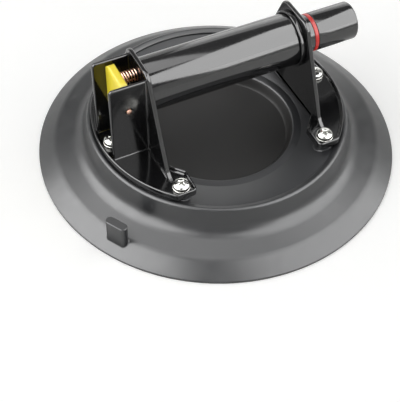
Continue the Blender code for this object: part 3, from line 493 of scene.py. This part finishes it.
# Brackets, die cast in aluminium and finished in gloss black enamel: a lipped tray that fits inside the pad's
# ring, and a rounded upright for the handle. The valve bracket has two cheeks round the release lever.
ENAMEL_BLACK = "141415"
TRAY_RADIUS = 0.088
TRAY_TIP = 0.06403  # half the tray's length across the handle
TRAY_INNER = 0.04554  # inner side of its tips
TRAY_SHOULDER = 0.04613  # where a tip's inner side ends
TRAY_WAIST = 0.03483  # where the slope from there meets the upright
TRAY_CORNER = 0.003
TRAY_BASE = 0.0303
TRAY_TOP = 0.033
TRAY_LIP_TOP = 0.0355
TRAY_LIP = 0.0016
ROOT_HEIGHT = 0.0316  # uprights and cheeks start inside the tray's floor
UPRIGHT_INNER = 0.0558
UPRIGHT_OUTER = 0.0588
UPRIGHT_HALF_WIDTH = 0.045
UPRIGHT_FLANK = 0.0231  # from the handle's axis
UPRIGHT_TOP = 0.0981
UPRIGHT_CORNER = 0.008
HANDLE_HEIGHT = 0.0762
CHANNEL_HALF = 0.0128
CHEEK_OUTER = 0.0153
CHEEK_TOP = 0.0933
CHEEK_EDGE = 0.0841
CHEEK_CORNER = 0.003
CHEEK_ROOT = 0.0573  # inside the upright
CHEEK_TRIM = 0.0006  # its fillets stop short of its round rim
BUSH_BORE = 0.0155
SPRING_HEIGHT = 0.0875
STUD_RADIUS = 0.0024
STUD_LENGTH = 0.0055
STUD_ROOT = 0.001
STUD_EDGE = 0.0003
PIN_X = -0.0712
PIN_HEIGHT = 0.0725
PIN_BORE = 0.0018
ENAMEL_EDGE = 0.0009  # the casting and its paint round every corner
ENAMEL_FILLET = 0.0012  # inner corners


def gloss_enamel(name, code):
    """Stoved enamel: nearly black and mirror bright. It waves about every 4 mm, as paint does when it levels,
    and its gloss has a faint haze 18 mm across."""
    enamel = new_material(name)
    place = add_node(enamel, "ShaderNodeTexCoord").outputs["Object"]
    wave = add_node(enamel, "ShaderNodeTexNoise", {"Vector": place, "Scale": 260.0, "Detail": 1.0})
    relief = add_node(
        enamel,
        "ShaderNodeBump",
        {"Strength": 0.06, "Distance": 0.00003, "Height": wave.outputs["Fac"]},
    )
    haze = add_node(
        enamel,
        "ShaderNodeTexNoise",
        {"Vector": place, "Scale": 55.0, "Detail": 4.0, "Roughness": 0.6},
    )
    bright = add_node(
        enamel,
        "ShaderNodeMapRange",
        {"Value": haze.outputs["Fac"], "From Min": 0.35, "From Max": 0.75, "To Min": 0.09, "To Max": 0.16},
    )
    surface = add_node(
        enamel,
        "ShaderNodeBsdfPrincipled",
        {
            "Base Color": linear(code),
            "Roughness": bright.outputs["Result"],
            "Specular IOR Level": 0.8,
            "Normal": relief.outputs["Normal"],
        },
    )
    add_node(enamel, "ShaderNodeOutputMaterial", {"Surface": surface.outputs["BSDF"]})
    return enamel


enamel = gloss_enamel("black_gloss_enamel", ENAMEL_BLACK)
PLANES = {
    "XY": lambda u, v, w: (u, v, w),
    "YZ": lambda u, v, w: (w, u, v),
    "XZ": lambda u, v, w: (u, w, v),
}


def prism(outline, low, high, plane="XY"):
    """An outline drawn in a plane and extruded along that plane's normal."""
    shape = bmesh.new()
    bottom = [shape.verts.new(PLANES[plane](u, v, low)) for u, v in outline]
    top = [shape.verts.new(PLANES[plane](u, v, high)) for u, v in outline]
    shape.faces.new(bottom)
    shape.faces.new(top)
    for number in range(len(outline)):
        after = (number + 1) % len(outline)
        shape.faces.new((bottom[number], bottom[after], top[after], top[number]))
    return shape


def arc(centre, radius, start, end, steps):
    """Points on an arc, from one angle in degrees to another."""
    points = []
    for step in range(steps + 1):
        angle = math.radians(start + (end - start) * step / steps)
        points.append((centre[0] + radius * math.cos(angle), centre[1] + radius * math.sin(angle)))
    return points


def inset(points, distance):
    """The same outline, run anticlockwise, moved inwards."""
    moved = []
    for number, point in enumerate(points):
        here = Vector(point)
        before = (here - Vector(points[number - 1])).normalized()
        after = (Vector(points[(number + 1) % len(points)]) - here).normalized()
        normals = Vector((-before.y, before.x)), Vector((-after.y, after.x))
        share = distance / (1 + normals[0].dot(normals[1]))
        moved.append(tuple(here + (normals[0] + normals[1]) * share))
    return moved


def loft(shape, rings, closed=False):
    """Joins rings of as many points each with faces. Its two ends are capped unless it closes on itself."""
    made = [[shape.verts.new(point) for point in ring] for ring in rings]
    pairs = list(zip(made, made[1:]))
    if closed:
        pairs.append((made[-1], made[0]))
    else:
        shape.faces.new(made[0])
        shape.faces.new(made[-1])
    for ring, following in pairs:
        for number in range(len(ring)):
            after = (number + 1) % len(ring)
            shape.faces.new((ring[number], ring[after], following[after], following[number]))


def spoked(outline, centre, reach):
    """Points at one reach from the centre, each on the line to a point of the outline."""
    return [centre + (Vector(point) - centre).normalized() * reach for point in outline]


def add_slab(shape, outline, low, high, edge, plane, hole=None):
    """Adds a slab with a rounded rim: an anticlockwise outline, extruded along its plane's normal. hole is
    the (centre, radius) of a round hole right through."""
    profile = [(edge + 0.0003, low)]
    for step in range(6):
        angle = math.radians(18 * step)
        profile.append((edge * (1 - math.sin(angle)), low + edge * (1 - math.cos(angle))))
    profile += [(depth, high + low - level) for depth, level in reversed(profile)]
    rings = [[PLANES[plane](u, v, level) for u, v in inset(outline, depth)] for depth, level in profile]
    if hole:
        centre, radius = Vector(hole[0]), hole[1]
        # The rounded mouth: how far it opens, as a share of the edge, and how deep that is.
        mouth = [(1.4, 0), (1, 0), (0.4, edge / 3), (0, edge)]
        sides = [(share, high - depth) for share, depth in mouth]
        sides += [(share, low + depth) for share, depth in reversed(mouth)]
        for share, level in sides:
            ring = spoked(outline, centre, radius + edge * share)
            rings.append([PLANES[plane](u, v, level) for u, v in ring])
    loft(shape, rings, closed=bool(hole))


def add_fillet(shape, start, end, along_one, along_other):
    """Adds the hollow fillet of an inner corner that runs from start to end. The two other vectors are its
    reach on the two faces."""
    one, other = Vector(along_one), Vector(along_other)
    curve = [-0.1 * (one + other)]
    for step in range(7):
        share = step / 6
        curve.append(one * (1 - share) ** 2 + other * share**2)
    loft(shape, [[Vector(place) + point for point in curve] for place in (start, end)])


def stepped(points, step):
    """The same outline with more points on its long sides."""
    fine = []
    for number, point in enumerate(points):
        here, ahead = Vector(point), Vector(points[(number + 1) % len(points)])
        count = max(1, round((ahead - here).length / step))
        fine += [tuple(here.lerp(ahead, share / count)) for share in range(count)]
    return fine


def tray_outline(side):
    """Outline of one tray, anticlockwise, for the pump side, or mirrored for the valve side."""
    tip_x = math.sqrt(TRAY_RADIUS**2 - TRAY_TIP**2)
    span = math.degrees(math.asin(TRAY_TIP / TRAY_RADIUS))
    rim = [(x, y, 0) for x, y in arc((0, 0), TRAY_RADIUS, -span, span, 64)[2:-2]]
    corners = [
        (TRAY_INNER, -TRAY_TIP, TRAY_CORNER),
        (tip_x, -TRAY_TIP, TRAY_CORNER),
        *rim,
        (tip_x, TRAY_TIP, TRAY_CORNER),
        (TRAY_INNER, TRAY_TIP, TRAY_CORNER),
        (TRAY_INNER, TRAY_SHOULDER, TRAY_CORNER),
        (UPRIGHT_INNER, TRAY_WAIST, 0),
        (UPRIGHT_INNER, -TRAY_WAIST, 0),
        (TRAY_INNER, -TRAY_SHOULDER, TRAY_CORNER),
    ]
    outline = eased(corners, 6, closed=True)
    return outline if side > 0 else [(-x, y) for x, y in reversed(outline)]


def upright_outline():
    """Upright seen along the handle: sides that slope up past the barrel to a rounded top."""
    foot = Vector((UPRIGHT_HALF_WIDTH, TRAY_TOP))
    to_axis = Vector((0, HANDLE_HEIGHT)) - foot
    leaning = math.atan2(to_axis.y, to_axis.x) - math.asin(UPRIGHT_FLANK / to_axis.length)
    low_half = foot.x + (ROOT_HEIGHT - foot.y) / math.tan(leaning)
    high_half = foot.x + (UPRIGHT_TOP - foot.y) / math.tan(leaning)
    corners = [(-low_half, ROOT_HEIGHT, 0), (low_half, ROOT_HEIGHT, 0)]
    corners += [(high_half, UPRIGHT_TOP, UPRIGHT_CORNER), (-high_half, UPRIGHT_TOP, UPRIGHT_CORNER)]
    return eased(corners, 24, closed=True)


for side, bracket_name in ((-1, "valve"), (1, "pump")):
    shape = bmesh.new()
    round_lip = TRAY_LIP / 2
    under_edge = ((0.0008, 0), (0.0005, 0), (0.0001, 0.0001), (0, 0.0005))
    tray_profile = [(depth, TRAY_BASE + rise) for depth, rise in under_edge]
    for angle in range(0, 181, 20):
        turn = math.radians(angle)
        depth = round_lip * (1 - math.cos(turn))
        tray_profile.append((depth, TRAY_LIP_TOP - round_lip * (1 - math.sin(turn))))
    for angle in range(0, 91, 15):
        turn = math.radians(angle)
        depth = TRAY_LIP + ENAMEL_FILLET * (1 - math.cos(turn))
        tray_profile.append((depth, TRAY_TOP + ENAMEL_FILLET * (1 - math.sin(turn))))
    outline = tray_outline(side)
    loft(shape, [[(x, y, level) for x, y in inset(outline, depth)] for depth, level in tray_profile])
    inner_face, outer_face = side * UPRIGHT_INNER, side * UPRIGHT_OUTER
    low, high = sorted((inner_face, outer_face))
    bore = ((0, HANDLE_HEIGHT), BUSH_BORE) if bracket_name == "pump" else None
    add_slab(shape, stepped(upright_outline(), 0.0015), low, high, ENAMEL_EDGE, "YZ", bore)
    away = Vector((side * ENAMEL_FILLET, 0, 0))
    upwards = Vector((0, 0, ENAMEL_FILLET))
    for front in (-1, 1):
        corner = (outer_face, front * UPRIGHT_HALF_WIDTH, TRAY_TOP)
        add_fillet(shape, (outer_face, 0, TRAY_TOP), corner, away, upwards)
        # The foot flares out below each side of the upright.
        flare = Vector((0, front * 0.005, 0))
        slope = Vector((0, -front * 0.0025, 0.0055))
        foot_edge = Vector((side * 0.0004, 0, 0))
        inner_corner = Vector((inner_face, *corner[1:]))
        add_fillet(shape, Vector(corner) - foot_edge, inner_corner + foot_edge, flare, slope)
    if bracket_name == "valve":
        cheek = [(-CHEEK_EDGE, ROOT_HEIGHT, 0), (-CHEEK_ROOT, ROOT_HEIGHT, 0), (-CHEEK_ROOT, CHEEK_TOP, 0)]
        cheek.append((-CHEEK_EDGE, CHEEK_TOP, CHEEK_CORNER))
        cheek_outline = stepped(eased(cheek, 8, closed=True), 0.004)
        for low, high in ((-CHEEK_OUTER, -CHANNEL_HALF), (CHANNEL_HALF, CHEEK_OUTER)):
            add_slab(shape, cheek_outline, low, high, ENAMEL_EDGE, "XZ", ((PIN_X, PIN_HEIGHT), PIN_BORE))
            for face, outwards in ((low, -1), (high, 1)):
                aside = Vector((0, outwards * ENAMEL_FILLET, 0))
                corner = (outer_face, face, TRAY_TOP)
                add_fillet(shape, corner, (outer_face, face, CHEEK_TOP - CHEEK_TRIM), away, aside)
                add_fillet(shape, corner, (-CHEEK_EDGE + CHEEK_TRIM, face, TRAY_TOP), upwards, aside)
        stud = arc((0, SPRING_HEIGHT), STUD_RADIUS, 0, 360, 32)[:-1]
        add_slab(shape, stud, outer_face - STUD_LENGTH, outer_face + STUD_ROOT, STUD_EDGE, "YZ")
    bracket = add_mesh(f"{bracket_name}_bracket_casting", shape, enamel)
    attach(bracket, "frame")
    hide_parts(f"{bracket_name}_bracket")

# Screws, M6 pan heads in bright zinc with a cross recess, each on a plain steel washer: cold headed, so the
# dome is smooth and carries faint rings.
ZINC_BRIGHT = "B2B2AE"
WASHER_STEEL = "C9C8C4"
WASHER_LOW = 0.0333
HEAD_LOW = 0.0346
HEAD_RADIUS = 0.0056
HEAD_RIM = 0.0012  # height of its upright rim
HEAD_HEIGHT = 0.0033
SHANK_RADIUS = 0.003
SHANK_LENGTH = 0.004
RECESS_DEPTH = 0.0026
RECESS_OVER = 0.0006  # how far the cutter stands out of the dome
WASHER_BORE = 0.0033
WASHER_RADIUS = 0.006
WASHER_THICKNESS = 0.001


def bright_metal(name, code, roughness, rings):
    """Polished or plated metal with fine turning rings and smudges 3 mm across. rings is the rings' spacing
    in metres."""
    metal = new_material(name)
    place = add_node(metal, "ShaderNodeTexCoord").outputs["Object"]
    apart = add_node(metal, "ShaderNodeSeparateXYZ", {"Vector": place})
    flat = add_node(metal, "ShaderNodeCombineXYZ", {"X": apart.outputs["X"], "Y": apart.outputs["Y"]})
    reach = add_node(metal, "ShaderNodeVectorMath", {0: flat.outputs["Vector"]}, operation="LENGTH")
    bands = add_node(
        metal,
        "ShaderNodeTexNoise",
        {"W": reach.outputs["Value"], "Scale": 1 / rings, "Detail": 1.0},
        noise_dimensions="1D",
    )
    relief = add_node(
        metal,
        "ShaderNodeBump",
        {"Strength": 0.12, "Distance": 0.00002, "Height": bands.outputs["Fac"]},
    )
    smudge = add_node(metal, "ShaderNodeTexNoise", {"Vector": place, "Scale": 350.0, "Detail": 4.0})
    dull = add_node(
        metal,
        "ShaderNodeMapRange",
        {"Value": smudge.outputs["Fac"], "To Min": roughness * 0.7, "To Max": roughness * 1.5},
    )
    surface = add_node(
        metal,
        "ShaderNodeBsdfPrincipled",
        {
            "Base Color": linear(code),
            "Metallic": 1.0,
            "Roughness": dull.outputs["Result"],
            "Normal": relief.outputs["Normal"],
        },
    )
    add_node(metal, "ShaderNodeOutputMaterial", {"Surface": surface.outputs["BSDF"]})
    return metal


zinc = bright_metal("bright_zinc_plate", ZINC_BRIGHT, 0.14, 0.0003)
washer_steel = bright_metal("rolled_steel", WASHER_STEEL, 0.24, 0.0004)
head_profile = [(0, -SHANK_LENGTH), (SHANK_RADIUS, -SHANK_LENGTH), (SHANK_RADIUS, 0)]
head_profile += [(HEAD_RADIUS - 0.0002, 0), (HEAD_RADIUS, 0.0002)]
for across, up in arc((0, 0), 1, 0, 84, 14):
    head_profile.append((HEAD_RADIUS * across, HEAD_RIM + (HEAD_HEIGHT - HEAD_RIM) * up))
head_profile.append((0, HEAD_HEIGHT))
# One half of the cross, seen from above, then the other half turned by 180 degrees.
cross = [(0.0028, -0.0005), (0.0028, 0.0005), (0.0011, 0.0007), (0.0007, 0.0011), (0.0005, 0.0028)]
cross += [(-0.0005, 0.0028), (-0.0007, 0.0011), (-0.0011, 0.0007)]
cross += [(-x, -y) for x, y in cross]


def cross_recess(turn):
    """The driver's recess: four wings that narrow downwards."""
    shape = bmesh.new()
    rings = []
    ends = ((HEAD_HEIGHT - RECESS_DEPTH, 0.6, 0.8), (HEAD_HEIGHT + RECESS_OVER, 1, 1))
    for height, share_x, share_y in ends:
        ring = []
        for x, y in cross:
            spot = Matrix.Rotation(turn, 3, "Z") @ Vector((x * share_x, y * share_y, height))
            ring.append(shape.verts.new(spot))
        rings.append(ring)
    shape.faces.new(rings[0])
    shape.faces.new(rings[1])
    for number in range(len(cross)):
        after = (number + 1) % len(cross)
        shape.faces.new((rings[0][number], rings[0][after], rings[1][after], rings[1][number]))
    return shape


def fit_together(obj, parts, edge):
    """Joins and cuts obj by (operation, shape) parts, rounds its edges and removes the parts."""
    used = []
    for operation, shape in parts:
        part = add_mesh("part_of_" + obj.name, shape, None)
        combine = obj.modifiers.new(part.name, "BOOLEAN")
        combine.operation = operation
        combine.object = part
        used.append(part)
    if edge:
        rounding = obj.modifiers.new("rounding", "BEVEL")
        rounding.width = edge
        rounding.segments = 3
        rounding.limit_method = "ANGLE"
        rounding.angle_limit = math.radians(32)
        rounding.harden_normals = True
        rounding.use_clamp_overlap = True
    bpy.context.view_layer.update()
    obj.data = bpy.data.meshes.new_from_object(obj.evaluated_get(bpy.context.evaluated_depsgraph_get()))
    obj.modifiers.clear()
    for part in used:
        bpy.data.objects.remove(part, do_unlink=True)


washer_corners = [
    (WASHER_BORE, 0, 0.0001),
    (WASHER_RADIUS, 0, 0.0002),
    (WASHER_RADIUS, WASHER_THICKNESS, 0.0003),
    (WASHER_BORE, WASHER_THICKNESS, 0.0002),
]
washer_profile = eased(washer_corners, 3, closed=True)
for number, (place, (x, y)) in enumerate(SCREW_PLACES.items()):
    bracket_name, spot = place.split("_")
    screw = add_mesh(f"{bracket_name}_screw_{spot}_head", turned(head_profile, 64), zinc, 40)
    fit_together(screw, [("DIFFERENCE", cross_recess(math.radians(30 + 23 * number)))], 0)
    screw.location = (x, y, HEAD_LOW)
    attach(screw, "frame")
    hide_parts(f"{bracket_name}_screw_{spot}")
    washer = add_mesh(f"{bracket_name}_washer_{spot}_ring", turned(washer_profile, 64), washer_steel, 40)
    washer.location = (x, y, WASHER_LOW)
    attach(washer, "frame")
    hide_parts(f"{bracket_name}_washer_{spot}")

# Handle tube and pump barrel in one: drawn aluminium tube in the same gloss enamel, with a thin collar at the
# pump end.
BARREL_RADIUS = 0.018
BARREL_BORE = 0.0155
BARREL_END = 0.0555
COLLAR_BORE = 0.0183
COLLAR_RADIUS = 0.0196
COLLAR_START = 0.0523


def along_x(obj):
    """Lays a piece that was turned about Z along the handle."""
    obj.data.transform(Matrix.Translation((0, 0, HANDLE_HEIGHT)) @ Matrix.Rotation(math.pi / 2, 4, "Y"))


barrel_profile = [(BARREL_BORE, -BARREL_END, 0.0002), (BARREL_RADIUS, -BARREL_END, 0.0004)]
barrel_profile += [(BARREL_RADIUS, BARREL_END, 0.0004), (BARREL_BORE, BARREL_END, 0.0002)]
barrel = add_mesh("barrel_tube", turned(eased(barrel_profile, 4, closed=True), 128), enamel)
along_x(barrel)
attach(barrel, "frame")
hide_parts("pump_barrel")
collar_profile = [(COLLAR_BORE, COLLAR_START, 0.0002), (COLLAR_RADIUS, COLLAR_START, 0.0005)]
collar_profile += [(COLLAR_RADIUS, BARREL_END, 0.0004), (COLLAR_BORE, BARREL_END, 0.0002)]
collar = add_mesh("collar_ring", turned(eased(collar_profile, 4, closed=True), 128), enamel)
along_x(collar)
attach(collar, "frame")
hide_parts("barrel_collar")

# Plunger: a black enamelled tube with a pressed cap, which slides in an acetal bush. The red band in its
# groove stands out of the bush while the vacuum is low.
PLUNGER_RADIUS = 0.0132
PLUNGER_BORE = 0.011
PLUNGER_START = 0.0406
PLUNGER_END = 0.1011
GROOVE_START = 0.0668
GROOVE_END = 0.0701
GROOVE_RADIUS = 0.0124
BAND_BORE = 0.0127
BAND_GAP = 0.0003
CAP_START = 0.0968
CAP_PLUG_START = 0.0891
CAP_PLUG_RADIUS = 0.0107
BUSH_INSIDE = 0.0135
BUSH_OUTSIDE = 0.0152
BUSH_START = 0.0406
FLANGE_RADIUS = 0.0172
FLANGE_START = 0.0591
FLANGE_END = 0.0616
BAND_RED = "D8261F"
ACETAL_BLACK = "161617"


def moulded_plastic(name, code, roughness, grain):
    """Moulded or turned plastic: one colour right through, with faint flow marks 14 mm across and the fine
    texture of its tool. grain is in metres."""
    plastic = new_material(name)
    place = add_node(plastic, "ShaderNodeTexCoord").outputs["Object"]
    grit = add_node(plastic, "ShaderNodeTexNoise", {"Vector": place, "Scale": 1 / grain, "Detail": 2.0})
    relief = add_node(
        plastic,
        "ShaderNodeBump",
        {"Strength": 0.2, "Distance": 0.00003, "Height": grit.outputs["Fac"]},
    )
    flow = add_node(plastic, "ShaderNodeTexNoise", {"Vector": place, "Scale": 70.0, "Detail": 2.0})
    shade = add_node(
        plastic,
        "ShaderNodeMapRange",
        {"Value": flow.outputs["Fac"], "To Min": 0.95, "To Max": 1.05},
    )
    tint = add_node(
        plastic,
        "ShaderNodeHueSaturation",
        {"Color": linear(code), "Value": shade.outputs["Result"]},
    )
    surface = add_node(
        plastic,
        "ShaderNodeBsdfPrincipled",
        {
            "Base Color": tint.outputs["Color"],
            "Roughness": roughness,
            "IOR": 1.49,
            "Normal": relief.outputs["Normal"],
        },
    )
    add_node(plastic, "ShaderNodeOutputMaterial", {"Surface": surface.outputs["BSDF"]})
    return plastic


band_red = moulded_plastic("red_vinyl", BAND_RED, 0.3, 0.0004)
acetal = moulded_plastic("turned_black_acetal", ACETAL_BLACK, 0.32, 0.0005)
sleeve_profile = [
    (PLUNGER_BORE, PLUNGER_START, 0),
    (PLUNGER_RADIUS, PLUNGER_START, 0),
    (PLUNGER_RADIUS, GROOVE_START, 0.0002),
    (GROOVE_RADIUS, GROOVE_START, 0),
    (GROOVE_RADIUS, GROOVE_END, 0),
    (PLUNGER_RADIUS, GROOVE_END, 0.0002),
    (PLUNGER_RADIUS, CAP_START, 0),
    (PLUNGER_BORE, CAP_START, 0),
]
sleeve = add_mesh("plunger_tube", turned(eased(sleeve_profile, 3, closed=True), 96), enamel)
along_x(sleeve)
band_start, band_end = GROOVE_START + BAND_GAP, GROOVE_END - BAND_GAP
band_profile = [(BAND_BORE, band_start, 0), (PLUNGER_RADIUS, band_start, 0.0002)]
band_profile += [(PLUNGER_RADIUS, band_end, 0.0002), (BAND_BORE, band_end, 0)]
band = add_mesh("red_ring", turned(eased(band_profile, 3, closed=True), 96), band_red)
along_x(band)
cap_profile = [(0, CAP_PLUG_START, 0), (CAP_PLUG_RADIUS, CAP_PLUG_START, 0), (CAP_PLUG_RADIUS, CAP_START, 0)]
cap_profile += [(PLUNGER_RADIUS, CAP_START, 0), (PLUNGER_RADIUS, PLUNGER_END, 0.0014), (0, PLUNGER_END, 0)]
cap = add_mesh("plunger_end_cap", turned(eased(cap_profile, 8), 96), enamel)
along_x(cap)
for piece, node, slot in (
    (sleeve, "plunger_sleeve", "black_enamel"),
    (band, "red_band", "red_ring"),
    (cap, "plunger_cap", "black_enamel"),
):
    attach(piece, "plunger")
    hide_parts(node)
bush_profile = [
    (BUSH_INSIDE, BUSH_START, 0),
    (BUSH_OUTSIDE, BUSH_START, 0),
    (BUSH_OUTSIDE, FLANGE_START, 0),
    (FLANGE_RADIUS, FLANGE_START, 0.0003),
    (FLANGE_RADIUS, FLANGE_END, 0.0007),
    (BUSH_INSIDE, FLANGE_END, 0.0004),
]
bush = add_mesh("bush_ring", turned(eased(bush_profile, 4, closed=True), 96), acetal)
along_x(bush)
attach(bush, "frame")
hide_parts("plunger_bush")

# Release lever, moulded in yellow nylon: a flat rocker with rounded top corners and a hub for its pin. A
# copper plated spring holds its top away from the upright and its rubber pad against the air nozzle.
LEVER_YELLOW = "FFE93A"
LEVER_OUTER = -0.0752
LEVER_INNER = -0.0697
LEVER_HALF_WIDTH = 0.0125
LEVER_FOOT = 0.0590
LEVER_TOP = 0.0920
LEVER_CORNER = 0.004
LEVER_EASE = 0.0045  # outer top edge
HUB_RADIUS = 0.0034
HUB_HALF_LENGTH = 0.0122
lever_yellow = moulded_plastic("yellow_nylon", LEVER_YELLOW, 0.34, 0.0005)
lever_corners = [(-LEVER_HALF_WIDTH, LEVER_FOOT, 0.0003), (LEVER_HALF_WIDTH, LEVER_FOOT, 0.0003)]
lever_corners += [(LEVER_HALF_WIDTH, LEVER_TOP, LEVER_CORNER), (-LEVER_HALF_WIDTH, LEVER_TOP, LEVER_CORNER)]
lever_outline = eased(lever_corners, 10, closed=True)
lever = add_mesh("lever_moulding", prism(lever_outline, LEVER_OUTER, LEVER_INNER, plane="YZ"), lever_yellow)
hub_outline = arc((PIN_X, PIN_HEIGHT), HUB_RADIUS, 0, 360, 40)[:-1]
hub = prism(hub_outline, -HUB_HALF_LENGTH, HUB_HALF_LENGTH, plane="XZ")
pin_bore = prism(arc((PIN_X, PIN_HEIGHT), PIN_BORE, 0, 360, 24)[:-1], -0.03, 0.03, plane="XZ")
# The side view that trims the blank, drawn down past its foot.
lever_side = [(LEVER_OUTER, 0.050, 0), (LEVER_INNER, 0.050, 0)]
lever_side += [(LEVER_INNER, LEVER_TOP, 0.0008), (LEVER_OUTER, LEVER_TOP, LEVER_EASE)]
lever_section = prism(eased(lever_side, 10, closed=True), -0.02, 0.02, plane="XZ")
fit_together(lever, [("INTERSECT", lever_section), ("UNION", hub), ("DIFFERENCE", pin_bore)], 0.0005)
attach(lever, "lever")
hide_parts("release_lever")

# Pin and spring of the lever, both copper plated: a headed pin through the cheeks and the hub, and a small
# coil on the upright's stud.
COPPER_RED = "CFA793"
PIN_END = 0.0165
PIN_SHOULDER = 0.0156  # where its heads begin
PIN_HEAD = 0.0021
PIN_SHANK = 0.0015
LEVER_SPRING_START = -0.0694
LEVER_SPRING_END = -0.0591
LEVER_SPRING_RADIUS = 0.0039
LEVER_SPRING_WIRE = 0.0004  # its radius
LEVER_SPRING_TURNS = 6
COIL_STEPS = 32  # wire pieces in a turn
WIRE_SIDES = 12
copper = bright_metal("copper_plate", COPPER_RED, 0.16, 0.0003)
pin_profile = [(0, -PIN_END), (0.0012, -PIN_END), (0.0019, -0.0162), (PIN_HEAD, -0.0157)]
pin_profile += [(PIN_HEAD, -PIN_SHOULDER), (PIN_SHANK, -PIN_SHOULDER)]
pin_profile += [(radius, -height) for radius, height in reversed(pin_profile)]
pin = add_mesh("pivot_pin", turned(pin_profile, 32), copper)
pin.data.transform(Matrix.Translation((PIN_X, 0, PIN_HEIGHT)) @ Matrix.Rotation(-math.pi / 2, 4, "X"))
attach(pin, "frame")
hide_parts("lever_pin")


def wound_spring(name, start, end, height, radius, wire, turns, material):
    """A compression spring along X with closed ends."""
    shape = bmesh.new()
    rings = []
    for step in range(turns * COIL_STEPS + 1):
        turn = step / COIL_STEPS
        share = min(max((turn - 0.5) / (turns - 1), 0), 1)
        angle = 2 * math.pi * turn
        spoke = Vector((0, math.cos(angle), math.sin(angle)))
        centre = Vector((start + wire + (end - start - 2 * wire) * share, 0, height)) + spoke * radius
        ring = []
        for side in range(WIRE_SIDES):
            around = 2 * math.pi * side / WIRE_SIDES
            outwards = spoke * math.cos(around) + Vector((1, 0, 0)) * math.sin(around)
            ring.append(shape.verts.new(centre + outwards * wire))
        rings.append(ring)
    for ring, following in zip(rings, rings[1:]):
        for side in range(WIRE_SIDES):
            after = (side + 1) % WIRE_SIDES
            shape.faces.new((ring[side], ring[after], following[after], following[side]))
    shape.faces.new(rings[0])
    shape.faces.new(rings[-1])
    return add_mesh(name, shape, material)


spring = wound_spring(
    "lever_spring",
    LEVER_SPRING_START,
    LEVER_SPRING_END,
    SPRING_HEIGHT,
    LEVER_SPRING_RADIUS,
    LEVER_SPRING_WIRE,
    LEVER_SPRING_TURNS,
    copper,
)
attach(spring, "frame")
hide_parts("valve_spring")
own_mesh(spring)

# Air valve and suction line: a turned brass nozzle under the lever's rubber pad, and a steel pipe that runs
# down the channel to the plate's port, with its seal, a felt filter and a cover in the pad.
BRASS = "C9A45A"
PIPE_STEEL = "B9B8B5"
FELT_GREY = "C9C6BC"
FELT_SHADE = "A5A297"
SEAL_BLACK = "1B1B1C"
SEAL_BLOOM = "222223"
brass = bright_metal("turned_brass", BRASS, 0.26, 0.0003)
pipe_steel = bright_metal("drawn_steel", PIPE_STEEL, 0.3, 0.0003)
seal_rubber = moulded_rubber("nitrile_rubber", SEAL_BLACK, SEAL_BLOOM, 0.0005)
felt = new_material("pressed_felt")
# Matted fibres about a tenth of a millimetre thick, drawn five times coarser so that they show.
felt_place = add_node(felt, "ShaderNodeTexCoord").outputs["Object"]
fibres = add_node(
    felt,
    "ShaderNodeTexNoise",
    {"Vector": felt_place, "Scale": 2000.0, "Detail": 6.0, "Distortion": 1.5},
)
felt_tint = add_node(
    felt,
    "ShaderNodeMix",
    {"Factor": fibres.outputs["Fac"], 6: linear(FELT_GREY), 7: linear(FELT_SHADE)},
    data_type="RGBA",
)
felt_relief = add_node(
    felt,
    "ShaderNodeBump",
    {"Strength": 0.8, "Distance": 0.0002, "Height": fibres.outputs["Fac"]},
)
felt_surface = add_node(
    felt,
    "ShaderNodeBsdfPrincipled",
    {
        "Base Color": felt_tint.outputs[2],
        "Roughness": 0.95,
        "Sheen Weight": 0.3,
        "Normal": felt_relief.outputs["Normal"],
    },
)
add_node(felt, "ShaderNodeOutputMaterial", {"Surface": felt_surface.outputs["BSDF"]})

# These pieces keep the solids' own shapes: they sit inside the barrel, the channel and the pad.
carried_over = {
    "air_nozzle": brass,
    "air_valve_pad": seal_rubber,
    "suction_pipe": pipe_steel,
    "pipe_seal": seal_rubber,
    "inlet_filter": felt,
    "filter_cover": acetal,
    "pump_head": acetal,
    "head_seal_ring": seal_rubber,
    "intake_valve": seal_rubber,
    "piston": acetal,
    "piston_cup": seal_rubber,
    "exhaust_valve": seal_rubber,
}
for node_name, material in carried_over.items():
    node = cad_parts[node_name]
    node.data.materials.clear()
    node.data.materials.append(material)

# Return spring inside the barrel, cold coiled from bright steel wire. It stands on the pump head and pushes
# the piston out. On the lifter it shortens by the plunger's stroke; here it is drawn at one length.
RETURN_SPRING_START = -0.0437
RETURN_SPRING_END = 0.0300
RETURN_SPRING_RADIUS = 0.01384
RETURN_SPRING_WIRE = 0.0008  # its radius
RETURN_SPRING_TURNS = 7
return_spring = wound_spring(
    "return_spring_coils",
    RETURN_SPRING_START,
    RETURN_SPRING_END,
    HANDLE_HEIGHT,
    RETURN_SPRING_RADIUS,
    RETURN_SPRING_WIRE,
    RETURN_SPRING_TURNS,
    pipe_steel,
)
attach(return_spring, "frame")
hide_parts("plunger_spring")
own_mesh(return_spring)
